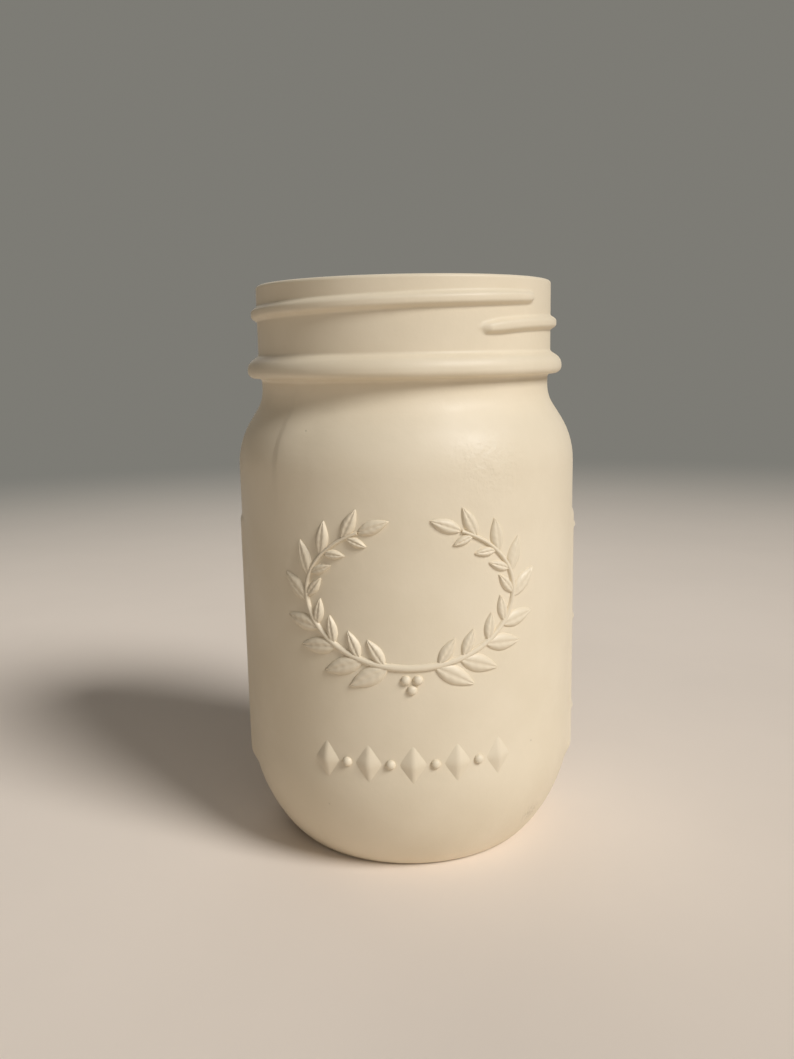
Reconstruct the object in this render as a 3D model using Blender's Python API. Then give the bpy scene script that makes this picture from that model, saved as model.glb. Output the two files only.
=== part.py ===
"""Painted mason jar lantern: an open glass jar with a battery tealight standing on its floor.

Metres, +Z up. The origin is the centre of the foot ring that the jar stands on,
and the face of the jar that is meant to be seen looks towards -Y.
"""

import math

import bmesh
import bpy
from mathutils import Matrix, Vector
from mathutils.geometry import interpolate_bezier

# Clearances between neighbouring pieces
SEAT_GAP = 0.0003
RUNNING_GAP = 0.0003

# Jar: body and base
JAR_HEIGHT = 0.1300
BODY_RADIUS = 0.0395
JAR_WALL = 0.0028
FLOOR_THICKNESS = 0.0042
PUNT_DEPTH = 0.0016
FOOT_RADIUS = 0.0290
FOOT_RING_WIDTH = 0.0042
FOOT_ROUND = 0.0015

# Jar: the heel, one smooth curve from the foot ring up to the straight body
HEEL_HEIGHT = 0.0254
HEEL_ANGLE = math.radians(35.0)
HEEL_FOOT_PULL = 0.0037
HEEL_BODY_PULL = 0.0131
HEEL_SPANS = 8
INNER_HEEL_ROUND = 0.0165

# Jar: shoulder and neck, with heights measured down from the rim
SHOULDER_DROP = 0.0353
SHOULDER_ROUND = 0.0308
NECK_DROP = 0.0258
NECK_RADIUS = 0.03345
NECK_ROUND = 0.0095

# Jar: the bead under the screw thread
BEAD_DROP = 0.0209
BEAD_RADIUS = 0.03665
BEAD_FACE = 0.0032
BEAD_UNDERSIDE = 0.0003
BEAD_SLOPE = 0.0017
BEAD_ROUND = 0.0016
BEAD_TOP_ROUND = 0.0028
BEAD_ROOT_ROUND = 0.0008

# Jar: threaded finish and lip
FINISH_RADIUS = 0.03405
MOUTH_RADIUS = 0.0306
LIP_ROUND_OUTSIDE = 0.0009
LIP_ROUND_INSIDE = 0.0012
THREAD_DROP = 0.0044
THREAD_PITCH = 0.0054
THREAD_HEIGHT = 0.00135
THREAD_ROUND = 0.0017
THREAD_START = math.radians(-37.0)
THREAD_SWEEP = math.radians(385.0)
THREAD_RUN_IN = math.radians(30.0)
THREAD_RUN_OUT = math.radians(10.0)
THREAD_SINK = 0.0002
THREAD_END_SHARE = 0.4
THREAD_POINT_ANGLE = math.radians(8.0)

# Tealight: outer shell
TEALIGHT_RADIUS = 0.01875
TEALIGHT_HEIGHT = 0.0178
SHELL_WALL = 0.0013
SHELL_RIM_WIDTH = 0.0017
SHELL_RIM_ROUND = 0.0007
DECK_DIP = 0.0019
DECK_THICKNESS = 0.0014
DECK_LAND = 0.0022
FLAME_HOLE_RADIUS = 0.0050

# Tealight: flame tip
FLAME_FLANGE_WIDTH = 0.0019
FLAME_FLANGE_THICKNESS = 0.0012
FLAME_LENGTH = 0.0185
FLAME_WALL = 0.0013
FLAME_LEAN = 0.0011
FLAME_TAPER = 1.6
FLAME_FULLNESS = 0.72

# Tealight: light-emitting diode and its two legs
LED_RADIUS = 0.0025
LED_LENGTH = 0.0087
LED_FLANGE_WIDTH = 0.0004
LED_FLANGE_THICKNESS = 0.0010
LEG_SPACING = 0.00254
LEG_DIAMETER = 0.0005
LEG_BEND = 0.0006
LEG_HOLE_DIAMETER = 0.0013

# Tealight: base plate with its battery well and the tower under the diode
PLATE_LIFT = 0.0004
PLATE_THICKNESS = 0.0024
WELL_WALL = 0.0015
WELL_LEDGE = 0.0006
ROOF_THICKNESS = 0.0012
TOWER_FLOOR = 0.0013
TOWER_WALL = 0.0012
TOWER_RIM = 0.0015

# Tealight: battery, its contacts and the twist cover
CELL_RADIUS = 0.0100
CELL_THICKNESS = 0.0032
CELL_SIDE_GAP = 0.0005
CELL_CAP_INSET = 0.0013
CELL_CAP_RISE = 0.0004
CONTACT_THICKNESS = 0.0003
CONTACT_WIDTH = 0.0030
CONTACT_SPRING_DEPTH = 0.0007
CONTACT_SPRING_REACH = 0.0030
COVER_SHADOW_GAP = 0.0002
COVER_LAP = 0.0007
COVER_LEDGE = 0.0007
COVER_LUG_REACH = 0.0013
COVER_LUG_WIDTH = 0.0046
COVER_LUG_THICKNESS = 0.0005
COVER_PAD_INSET = 0.0008
COVER_OPEN_ANGLE = math.radians(45.0)
COIN_SLOT_LENGTH = 0.0120
COIN_SLOT_WIDTH = 0.0017
COIN_SLOT_DEPTH = 0.0006

# Tealight: slide switch
SWITCH_OFFSET = 0.0149
SWITCH_TRAVEL = 0.0030
SWITCH_SLOT_WIDTH = 0.0024
SWITCH_KNOB_LENGTH = 0.0046
SWITCH_FLANGE_WIDTH = 0.0033
SWITCH_FLANGE_LENGTH = 0.0056
SWITCH_FLANGE_THICKNESS = 0.0010
SWITCH_RIB_COUNT = 4
SWITCH_RIB_DEPTH = 0.0003
WIPER_WIDTH = 0.0020
WIPER_LENGTH = 0.0048
WIPER_RISE = 0.0007

# Facets: steps round a turned piece, and the angle that one step of a rounded corner covers
JAR_STEPS = 48
CASE_STEPS = 32
CELL_STEPS = 28
LED_STEPS = 16
CORNER_STEP = math.radians(12.0)
LEG_RESOLUTION = 1

# Heights worked out from the sizes above
FLOOR_LEVEL = PUNT_DEPTH + FLOOR_THICKNESS
TEALIGHT_LEVEL = FLOOR_LEVEL + SEAT_GAP
PLATE_TOP = PLATE_LIFT + PLATE_THICKNESS
LEDGE_UNDERSIDE = PLATE_TOP - WELL_LEDGE
COVER_BOTTOM = PLATE_LIFT + COVER_SHADOW_GAP
COVER_TOP = LEDGE_UNDERSIDE - RUNNING_GAP
CELL_BOTTOM = PLATE_TOP + SEAT_GAP
CELL_TOP = CELL_BOTTOM + CELL_THICKNESS
SPRING_LEVEL = CELL_TOP + SEAT_GAP + CONTACT_SPRING_DEPTH + CONTACT_THICKNESS / 2
ROOF_UNDERSIDE = SPRING_LEVEL + CONTACT_THICKNESS / 2 + SEAT_GAP
ROOF_TOP = ROOF_UNDERSIDE + ROOF_THICKNESS
TOWER_SEAT = ROOF_TOP + TOWER_FLOOR
LED_BOTTOM = TOWER_SEAT + SEAT_GAP
LED_TOP = LED_BOTTOM + LED_LENGTH
DECK_LEVEL = TEALIGHT_HEIGHT - DECK_DIP
DECK_UNDERSIDE = DECK_LEVEL - DECK_THICKNESS

# Radii and places worked out from the sizes above
SHELL_BORE = TEALIGHT_RADIUS - SHELL_WALL
PLATE_RADIUS = SHELL_BORE - SEAT_GAP
WELL_RADIUS = CELL_RADIUS + CELL_SIDE_GAP
WELL_OUTSIDE = WELL_RADIUS + WELL_WALL
COVER_RADIUS = WELL_RADIUS + COVER_LAP
COVER_HOLE = COVER_RADIUS + RUNNING_GAP
LUG_RADIUS = COVER_RADIUS + COVER_LUG_REACH
GROOVE_RADIUS = LUG_RADIUS + RUNNING_GAP
LED_SEAT_RADIUS = LED_RADIUS + LED_FLANGE_WIDTH + SEAT_GAP
TOWER_RADIUS = LED_SEAT_RADIUS + TOWER_WALL
FLAME_RADIUS = FLAME_HOLE_RADIUS - SEAT_GAP
SWITCH_FLANGE_BOTTOM = PLATE_TOP + RUNNING_GAP
SWITCH_FLANGE_TOP = SWITCH_FLANGE_BOTTOM + SWITCH_FLANGE_THICKNESS
WIPER_LEVEL = SWITCH_FLANGE_TOP + SEAT_GAP + CONTACT_THICKNESS / 2
WIPER_TOP = WIPER_LEVEL + WIPER_RISE + CONTACT_THICKNESS / 2
TAIL_LEVEL = WIPER_TOP + RUNNING_GAP + CONTACT_THICKNESS / 2


def clear_scene():
    for obj in list(bpy.data.objects):
        bpy.data.objects.remove(obj)


def material(name, colour, roughness, metallic=0.0, alpha=1.0):
    """A Principled material with one colour."""
    made = bpy.data.materials.new(name)
    made.use_nodes = True
    shader = made.node_tree.nodes["Principled BSDF"]
    shader.inputs["Base Color"].default_value = (*colour, 1.0)
    shader.inputs["Roughness"].default_value = roughness
    shader.inputs["Metallic"].default_value = metallic
    shader.inputs["Alpha"].default_value = alpha
    made.diffuse_color = (*colour, alpha)
    return made


def rounded_outline(corners):
    """Points along straight lines through (x, y, round) corners, with an arc of that radius at each corner."""
    points = []
    for index, (x, y, radius) in enumerate(corners):
        corner = Vector((x, y))
        if radius == 0 or index in (0, len(corners) - 1):
            points.append(corner)
            continue
        back = Vector(corners[index - 1][:2]) - corner
        ahead = Vector(corners[index + 1][:2]) - corner
        half_angle = back.angle(ahead) / 2
        # A round is limited by the two straight lines that it joins.
        reach = min(radius / math.tan(half_angle), 0.49 * back.length, 0.49 * ahead.length)
        radius = reach * math.tan(half_angle)
        centre = corner + (back.normalized() + ahead.normalized()).normalized() * radius / math.sin(half_angle)
        first = corner + back.normalized() * reach - centre
        turn = math.pi - 2 * half_angle
        if first.cross(corner + ahead.normalized() * reach - centre) < 0:
            turn = -turn
        steps = max(2, math.ceil(abs(turn) / CORNER_STEP))
        for step in range(steps + 1):
            points.append(centre + Matrix.Rotation(turn * step / steps, 2) @ first)
    return points


def new_object(name, mesh, finish, parent=None):
    made = bpy.data.objects.new(name, mesh)
    bpy.context.scene.collection.objects.link(made)
    made.parent = parent
    if finish is not None:
        mesh.materials.append(finish)
    return made


def finish_mesh(name, shape):
    """The mesh of an edited shape, with its faces pointing out and its round faces smooth."""
    bmesh.ops.recalc_face_normals(shape, faces=shape.faces)
    mesh = bpy.data.meshes.new(name)
    shape.to_mesh(mesh)
    shape.free()
    mesh.shade_smooth()
    mesh.set_sharp_from_angle(angle=math.radians(35.0))
    return mesh


def turned(name, outline, steps, finish, parent=None, closed=False):
    """A solid turned about the Z axis. An outline that isn't closed starts and ends on the axis."""
    shape = bmesh.new()
    rim = [shape.verts.new((point.x, 0.0, point.y)) for point in outline]
    edges = [shape.edges.new(pair) for pair in zip(rim, rim[1:])]
    if closed:
        edges.append(shape.edges.new((rim[-1], rim[0])))
    bmesh.ops.spin(
        shape,
        geom=rim + edges,
        axis=(0.0, 0.0, 1.0),
        cent=(0.0, 0.0, 0.0),
        angle=math.tau,
        steps=steps,
        use_merge=True,
    )
    bmesh.ops.remove_doubles(shape, verts=shape.verts, dist=1e-7)
    return new_object(name, finish_mesh(name, shape), finish, parent)


def prism(name, outline, depth, finish, parent=None, upright=False):
    """A flat outline in X and Y given depth upwards, or in X and Z given depth both ways along Y."""
    shape = bmesh.new()
    if upright:
        corners = [shape.verts.new((x, -depth / 2, z)) for x, z in outline]
        direction = Vector((0.0, depth, 0.0))
    else:
        corners = [shape.verts.new((x, y, 0.0)) for x, y in outline]
        direction = Vector((0.0, 0.0, depth))
    face = shape.faces.new(corners)
    grown = bmesh.ops.extrude_face_region(shape, geom=[face])["geom"]
    moved = [item for item in grown if isinstance(item, bmesh.types.BMVert)]
    bmesh.ops.translate(shape, verts=moved, vec=direction)
    return new_object(name, finish_mesh(name, shape), finish, parent)


def block(name, low, high, finish=None, parent=None):
    """A box between two corners."""
    outline = [(low[0], low[1]), (high[0], low[1]), (high[0], high[1]), (low[0], high[1])]
    made = prism(name, outline, high[2] - low[2], finish, parent)
    made.location.z = low[2]
    return made


def cylinder(name, radius, bottom, top, centre=(0.0, 0.0), parent=None):
    """A round peg, used to drill holes."""
    outline = [Vector((0.0, bottom)), Vector((radius, bottom)), Vector((radius, top)), Vector((0.0, top))]
    made = turned(name, outline, LED_STEPS, None, parent)
    made.location.x = centre[0]
    made.location.y = centre[1]
    return made


def boolean(target, tool, operation):
    """Cuts or joins with a helper object that isn't part of the model."""
    tool.hide_render = True
    tool.display_type = "WIRE"
    modifier = target.modifiers.new(tool.name, "BOOLEAN")
    modifier.operation = operation
    modifier.object = tool


def strip(name, path, thickness, width, finish, parent):
    """Sheet metal bent along a path in X and Z, as wide as given along Y."""
    line = [Vector(point) for point in path]
    sides = []
    for index, point in enumerate(line):
        before = (point - line[max(index - 1, 0)]).normalized()
        after = (line[min(index + 1, len(line) - 1)] - point).normalized()
        along = (before + after).normalized()
        square = Vector((-along.y, along.x))
        # A mitre is longer than the sheet is thick.
        lean = max(square.dot(Vector((-after.y, after.x))), square.dot(Vector((-before.y, before.x))))
        sides.append(square * thickness / 2 / lean)
    outline = [p + s for p, s in zip(line, sides)] + [p - s for p, s in reversed(list(zip(line, sides)))]
    return prism(name, outline, width, finish, parent, upright=True)


def bent_wire(name, corners, diameter, bend, finish, parent):
    """Round wire through corners, each turned with one bend radius."""
    points = []
    for index, corner in enumerate(map(Vector, corners)):
        if index in (0, len(corners) - 1):
            points.append(corner)
            continue
        back = Vector(corners[index - 1]) - corner
        ahead = Vector(corners[index + 1]) - corner
        half_angle = back.angle(ahead) / 2
        reach = min(bend / math.tan(half_angle), 0.45 * back.length, 0.45 * ahead.length)
        start = corner + back.normalized() * reach
        end = corner + ahead.normalized() * reach
        for share in (0.0, 0.25, 0.5, 0.75, 1.0):
            points.append(start.lerp(corner, share).lerp(corner.lerp(end, share), share))
    curve = bpy.data.curves.new(name, "CURVE")
    curve.dimensions = "3D"
    curve.bevel_depth = diameter / 2
    curve.bevel_resolution = LEG_RESOLUTION
    curve.use_fill_caps = True
    spline = curve.splines.new("POLY")
    spline.points.add(len(points) - 1)
    for place, point in zip(spline.points, points):
        place.co = (*point, 1.0)
    return new_object(name, curve, finish, parent)


def heel_curve():
    """Points of the heel, from the foot ring up to the straight body."""
    foot = Vector((FOOT_RADIUS, 0.0))
    body = Vector((BODY_RADIUS, HEEL_HEIGHT))
    foot_handle = foot + HEEL_FOOT_PULL * Vector((math.cos(HEEL_ANGLE), math.sin(HEEL_ANGLE)))
    body_handle = body - Vector((0.0, HEEL_BODY_PULL))
    return interpolate_bezier(foot, foot_handle, body_handle, body, HEEL_SPANS + 1)


def jar_outline():
    """Half the jar's section: underside, outside, lip, inside and floor, from axis to axis."""
    rim = JAR_HEIGHT
    inside = BODY_RADIUS - JAR_WALL
    slope = math.atan2(BODY_RADIUS - NECK_RADIUS, SHOULDER_DROP - NECK_DROP)
    # The inside of the shoulder lies one wall behind the outside, so its corners sit a little lower.
    inner_drop = JAR_WALL * math.tan(slope / 2)
    ring_inside = FOOT_RADIUS - FOOT_RING_WIDTH
    bead_low = rim - BEAD_DROP
    bead_face_low = bead_low + BEAD_UNDERSIDE
    bead_face_high = bead_face_low + BEAD_FACE
    heel = [(point.x, point.y, 0.0) for point in heel_curve()[1:]]
    return rounded_outline([
        (0.0, PUNT_DEPTH, 0.0),
        (ring_inside - PUNT_DEPTH, PUNT_DEPTH, PUNT_DEPTH),
        (ring_inside, 0.0, 0.0),
        (FOOT_RADIUS, 0.0, FOOT_ROUND),
        *heel,
        (BODY_RADIUS, rim - SHOULDER_DROP, SHOULDER_ROUND),
        (NECK_RADIUS, rim - NECK_DROP, NECK_ROUND),
        (NECK_RADIUS, bead_low, BEAD_ROOT_ROUND),
        (BEAD_RADIUS, bead_face_low, BEAD_ROUND),
        (BEAD_RADIUS, bead_face_high, BEAD_TOP_ROUND),
        (FINISH_RADIUS, bead_face_high + BEAD_SLOPE, BEAD_ROOT_ROUND),
        (FINISH_RADIUS, rim, LIP_ROUND_OUTSIDE),
        (MOUTH_RADIUS, rim, LIP_ROUND_INSIDE),
        (MOUTH_RADIUS, rim - NECK_DROP - inner_drop, NECK_ROUND + JAR_WALL),
        (inside, rim - SHOULDER_DROP - inner_drop, SHOULDER_ROUND - JAR_WALL),
        (inside, FLOOR_LEVEL, INNER_HEEL_ROUND),
        (0.0, FLOOR_LEVEL, 0.0),
    ])


def thread_ridge(name):
    """The raised screw thread: a right-hand helix that sinks into the neck at both ends."""
    count = math.ceil(THREAD_SWEEP / THREAD_POINT_ANGLE)
    curve = bpy.data.curves.new(name, "CURVE")
    curve.dimensions = "3D"
    curve.bevel_depth = THREAD_ROUND
    curve.bevel_resolution = 2
    curve.use_fill_caps = True
    spline = curve.splines.new("POLY")
    spline.points.add(count)
    for index, place in enumerate(spline.points):
        swept = THREAD_SWEEP * index / count
        run_in = min(1.0, swept / THREAD_RUN_IN)
        run_out = min(1.0, (THREAD_SWEEP - swept) / THREAD_RUN_OUT)
        # 0 at the two ends, where the ridge is thin and lies under the surface, and 1 along its length.
        fullness = math.sin(min(run_in, run_out) * math.pi / 2)
        place.radius = THREAD_END_SHARE + (1.0 - THREAD_END_SHARE) * fullness
        crest = THREAD_HEIGHT * fullness - THREAD_SINK * (1.0 - fullness)
        radius = FINISH_RADIUS + crest - THREAD_ROUND * place.radius
        angle = THREAD_START - swept
        height = JAR_HEIGHT - THREAD_DROP - THREAD_PITCH * swept / math.tau
        place.co = (radius * math.cos(angle), radius * math.sin(angle), height, 1.0)
    swept_tube = bpy.data.objects.new(name + "_path", curve)
    bpy.context.scene.collection.objects.link(swept_tube)
    bpy.context.view_layer.update()
    mesh = bpy.data.meshes.new_from_object(swept_tube.evaluated_get(bpy.context.evaluated_depsgraph_get()))
    bpy.data.objects.remove(swept_tube)
    shape = bmesh.new()
    shape.from_mesh(mesh)
    bmesh.ops.remove_doubles(shape, verts=shape.verts, dist=1e-7)
    return new_object(name, finish_mesh(name, shape), None)


def build_jar(finish):
    jar = turned("glass_jar", jar_outline(), JAR_STEPS, finish)
    boolean(jar, thread_ridge("thread_ridge"), "UNION")
    return jar


def build_shell(finish, parent):
    """The wax-coloured cup of the tealight, open underneath, with a dished top and a hole for the flame."""
    outline = rounded_outline([
        (SHELL_BORE, 0.0, 0.0),
        (TEALIGHT_RADIUS, 0.0, 0.0),
        (TEALIGHT_RADIUS, TEALIGHT_HEIGHT, SHELL_RIM_ROUND),
        (TEALIGHT_RADIUS - SHELL_RIM_WIDTH, TEALIGHT_HEIGHT, SHELL_RIM_ROUND),
        (FLAME_HOLE_RADIUS + DECK_LAND, DECK_LEVEL, DECK_LAND),
        (FLAME_HOLE_RADIUS, DECK_LEVEL, 0.0),
        (FLAME_HOLE_RADIUS, DECK_UNDERSIDE, 0.0),
        (SHELL_BORE, DECK_UNDERSIDE, 0.0),
    ])
    return turned("candle_shell", outline, CASE_STEPS, finish, parent, closed=True)


def flame_point(share):
    """Radius and height of the flame above the deck, from its foot at 0 to its tip at 1."""
    radius = FLAME_RADIUS * (1.0 - share**FLAME_TAPER) ** FLAME_FULLNESS
    return Vector((radius, DECK_LEVEL + FLAME_LENGTH * share))


def build_flame(finish, parent):
    """A hollow flame-shaped tip, held under the deck by its flange and leaning a little at its point."""
    flange_top = DECK_UNDERSIDE - SEAT_GAP
    flange_bottom = flange_top - FLAME_FLANGE_THICKNESS
    cavity = FLAME_RADIUS - FLAME_WALL
    cavity_top = LED_TOP + 2 * SEAT_GAP
    outside = [
        Vector((cavity, flange_bottom)),
        Vector((FLAME_RADIUS + FLAME_FLANGE_WIDTH, flange_bottom)),
        Vector((FLAME_RADIUS + FLAME_FLANGE_WIDTH, flange_top)),
        Vector((FLAME_RADIUS, flange_top)),
    ]
    rings = 9
    outside += [flame_point(math.sin(index / rings * math.pi / 2)) for index in range(rings + 1)]
    inside = [
        Vector((0.0, cavity_top)),
        Vector((cavity / 2, cavity_top)),
        Vector((cavity, cavity_top - cavity / 2)),
    ]
    outline = inside + outside
    flame = turned("flame_tip", outline, CASE_STEPS // 2, finish, parent)
    for vertex in flame.data.vertices:
        above = max(0.0, vertex.co.z - DECK_LEVEL) / FLAME_LENGTH
        vertex.co.x += FLAME_LEAN * above**2
    return flame


def build_led(finish, parent):
    """The epoxy body: a flange, a barrel and a domed end."""
    outline = [Vector((0.0, LED_BOTTOM)), Vector((LED_RADIUS + LED_FLANGE_WIDTH, LED_BOTTOM))]
    outline.append(Vector((LED_RADIUS + LED_FLANGE_WIDTH, LED_BOTTOM + LED_FLANGE_THICKNESS)))
    outline.append(Vector((LED_RADIUS, LED_BOTTOM + LED_FLANGE_THICKNESS)))
    dome = LED_TOP - LED_RADIUS
    steps = 5
    for step in range(steps + 1):
        angle = math.pi / 2 * step / steps
        outline.append(Vector((LED_RADIUS * math.cos(angle), dome + LED_RADIUS * math.sin(angle))))
    outline[-1].x = 0.0
    return turned("led_lens", outline, LED_STEPS, finish, parent)


def build_legs(finish, parent):
    """One leg reaches down to the spring on the battery, and the other out to the switch."""
    side = LEG_SPACING / 2
    top = LED_BOTTOM - SEAT_GAP
    spring_share = side / CONTACT_SPRING_REACH
    spring_top = SPRING_LEVEL - CONTACT_SPRING_DEPTH * (1.0 - spring_share) + CONTACT_THICKNESS
    run = (ROOF_TOP + TOWER_SEAT) / 2
    landing = (SWITCH_OFFSET - SWITCH_FLANGE_WIDTH / 4, WIPER_LENGTH / 2 + LEG_DIAMETER)
    bent_wire(
        "led_cathode_leg",
        [(-side, 0.0, top), (-side, 0.0, spring_top + SEAT_GAP)],
        LEG_DIAMETER,
        LEG_BEND,
        finish,
        parent,
    )
    bent_wire(
        "led_anode_leg",
        [
            (side, 0.0, top),
            (side, 0.0, run),
            (TOWER_RADIUS + LEG_HOLE_DIAMETER, 0.0, run),
            (*landing, run),
            (*landing, WIPER_TOP + RUNNING_GAP),
        ],
        LEG_DIAMETER,
        LEG_BEND,
        finish,
        parent,
    )


def build_base(finish, parent):
    """The plate that closes the shell, with the battery well, the diode's tower and the bayonet groove."""
    outline = [Vector(point) for point in (
        (0.0, ROOF_UNDERSIDE),
        (WELL_RADIUS, ROOF_UNDERSIDE),
        (WELL_RADIUS, LEDGE_UNDERSIDE),
        (GROOVE_RADIUS, LEDGE_UNDERSIDE),
        (GROOVE_RADIUS, PLATE_LIFT + COVER_LEDGE),
        (COVER_HOLE, PLATE_LIFT + COVER_LEDGE),
        (COVER_HOLE, PLATE_LIFT),
        (PLATE_RADIUS, PLATE_LIFT),
        (PLATE_RADIUS, PLATE_TOP),
        (WELL_OUTSIDE, PLATE_TOP),
        (WELL_OUTSIDE, ROOF_TOP),
        (TOWER_RADIUS, ROOF_TOP),
        (TOWER_RADIUS, TOWER_SEAT + TOWER_RIM),
        (LED_SEAT_RADIUS, TOWER_SEAT + TOWER_RIM),
        (LED_SEAT_RADIUS, TOWER_SEAT),
        (0.0, TOWER_SEAT),
    )]
    base = turned("base_plate", outline, CASE_STEPS, finish, parent)
    over = WELL_LEDGE
    for side, name in ((-1, "cathode_hole"), (1, "anode_hole")):
        centre = (side * LEG_SPACING / 2, 0.0)
        bottom = ROOF_UNDERSIDE - over if side < 0 else (ROOF_TOP + ROOF_UNDERSIDE) / 2
        hole = cylinder(name, LEG_HOLE_DIAMETER / 2, bottom, TOWER_SEAT + over, centre, parent)
        boolean(base, hole, "DIFFERENCE")
    half = LEG_HOLE_DIAMETER / 2
    floor = (ROOF_TOP + ROOF_UNDERSIDE) / 2
    channel = block(
        "leg_channel",
        (LEG_SPACING / 2, -half, floor),
        (TOWER_RADIUS + over, half, TOWER_SEAT + TOWER_RIM + over),
        parent=parent,
    )
    boolean(base, channel, "DIFFERENCE")
    for turn in (0.0, math.pi):
        notch = block(
            "lug_notch",
            (COVER_RADIUS / 2, -COVER_LUG_WIDTH / 2 - RUNNING_GAP, PLATE_LIFT - over),
            (GROOVE_RADIUS, COVER_LUG_WIDTH / 2 + RUNNING_GAP, PLATE_LIFT + COVER_LEDGE + RUNNING_GAP),
            parent=parent,
        )
        notch.rotation_euler.z = turn + math.pi / 2 + COVER_OPEN_ANGLE
        boolean(base, notch, "DIFFERENCE")
    slot_half = (SWITCH_KNOB_LENGTH + SWITCH_TRAVEL) / 2 + RUNNING_GAP
    slot = block(
        "switch_slot",
        (SWITCH_OFFSET - SWITCH_SLOT_WIDTH / 2, -slot_half, PLATE_LIFT - over),
        (SWITCH_OFFSET + SWITCH_SLOT_WIDTH / 2, slot_half, PLATE_TOP + over),
        parent=parent,
    )
    boolean(base, slot, "DIFFERENCE")
    window_half = CONTACT_WIDTH / 2 + SEAT_GAP
    window = block(
        "contact_window",
        (CELL_RADIUS, -window_half, PLATE_TOP + RUNNING_GAP),
        (WELL_OUTSIDE + over, window_half, ROOF_UNDERSIDE - over / 2),
        parent=parent,
    )
    boolean(base, window, "DIFFERENCE")
    return base


def build_cell(finish, parent):
    """A coin cell with its can below and the narrower cap above."""
    groove = CELL_CAP_RISE / 2
    shoulder = CELL_TOP - CELL_CAP_RISE
    cap = CELL_RADIUS - CELL_CAP_INSET
    outline = rounded_outline([
        (0.0, CELL_BOTTOM, 0.0),
        (CELL_RADIUS, CELL_BOTTOM, CELL_CAP_RISE),
        (CELL_RADIUS, shoulder, CELL_CAP_RISE),
        (cap + groove, shoulder, 0.0),
        (cap + groove, shoulder - groove, 0.0),
        (cap, shoulder - groove, 0.0),
        (cap, CELL_TOP, groove),
        (0.0, CELL_TOP, 0.0),
    ])
    return turned("coin_cell", outline, CELL_STEPS, finish, parent)


def build_contacts(finish, parent):
    """A sprung leaf over the middle of the cell, and a clip from its side out to the switch."""
    dip = SPRING_LEVEL - CONTACT_SPRING_DEPTH
    strip(
        "negative_contact",
        [
            (-WELL_RADIUS + CELL_SIDE_GAP, SPRING_LEVEL),
            (-CONTACT_SPRING_REACH, SPRING_LEVEL),
            (0.0, dip),
            (CONTACT_SPRING_REACH, SPRING_LEVEL),
            (CONTACT_SPRING_REACH + CONTACT_WIDTH / 2, SPRING_LEVEL),
        ],
        CONTACT_THICKNESS,
        CONTACT_WIDTH,
        finish,
        parent,
    )
    beside_cell = CELL_RADIUS + SEAT_GAP + CONTACT_THICKNESS / 2
    strip(
        "positive_contact",
        [
            (beside_cell, PLATE_TOP + 2 * SEAT_GAP),
            (beside_cell, TAIL_LEVEL),
            (SWITCH_OFFSET + WIPER_WIDTH / 4, TAIL_LEVEL),
        ],
        CONTACT_THICKNESS,
        CONTACT_WIDTH,
        finish,
        parent,
    )


def build_cover(finish, parent):
    """The twist cover of the battery well: a disc, two bayonet lugs, a pad under the cell and a coin slot."""
    pad = WELL_RADIUS - COVER_PAD_INSET
    outline = [Vector(point) for point in (
        (0.0, COVER_BOTTOM),
        (COVER_RADIUS, COVER_BOTTOM),
        (COVER_RADIUS, COVER_TOP),
        (pad, COVER_TOP),
        (pad, CELL_BOTTOM - SEAT_GAP),
        (0.0, CELL_BOTTOM - SEAT_GAP),
    )]
    cover = turned("battery_cover", outline, CASE_STEPS, finish, parent)
    lugs = block(
        "cover_lugs",
        (-COVER_LUG_WIDTH / 2, -GROOVE_RADIUS, COVER_TOP - COVER_LUG_THICKNESS),
        (COVER_LUG_WIDTH / 2, GROOVE_RADIUS, COVER_TOP),
        parent=parent,
    )
    reach = cylinder("lug_reach", LUG_RADIUS, COVER_BOTTOM, CELL_TOP, parent=parent)
    boolean(lugs, reach, "INTERSECT")
    boolean(cover, lugs, "UNION")
    slot = block(
        "coin_slot",
        (-COIN_SLOT_LENGTH / 2, -COIN_SLOT_WIDTH / 2, COVER_BOTTOM - COIN_SLOT_DEPTH),
        (COIN_SLOT_LENGTH / 2, COIN_SLOT_WIDTH / 2, COVER_BOTTOM + COIN_SLOT_DEPTH),
        parent=parent,
    )
    boolean(cover, slot, "DIFFERENCE")
    return cover


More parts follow.
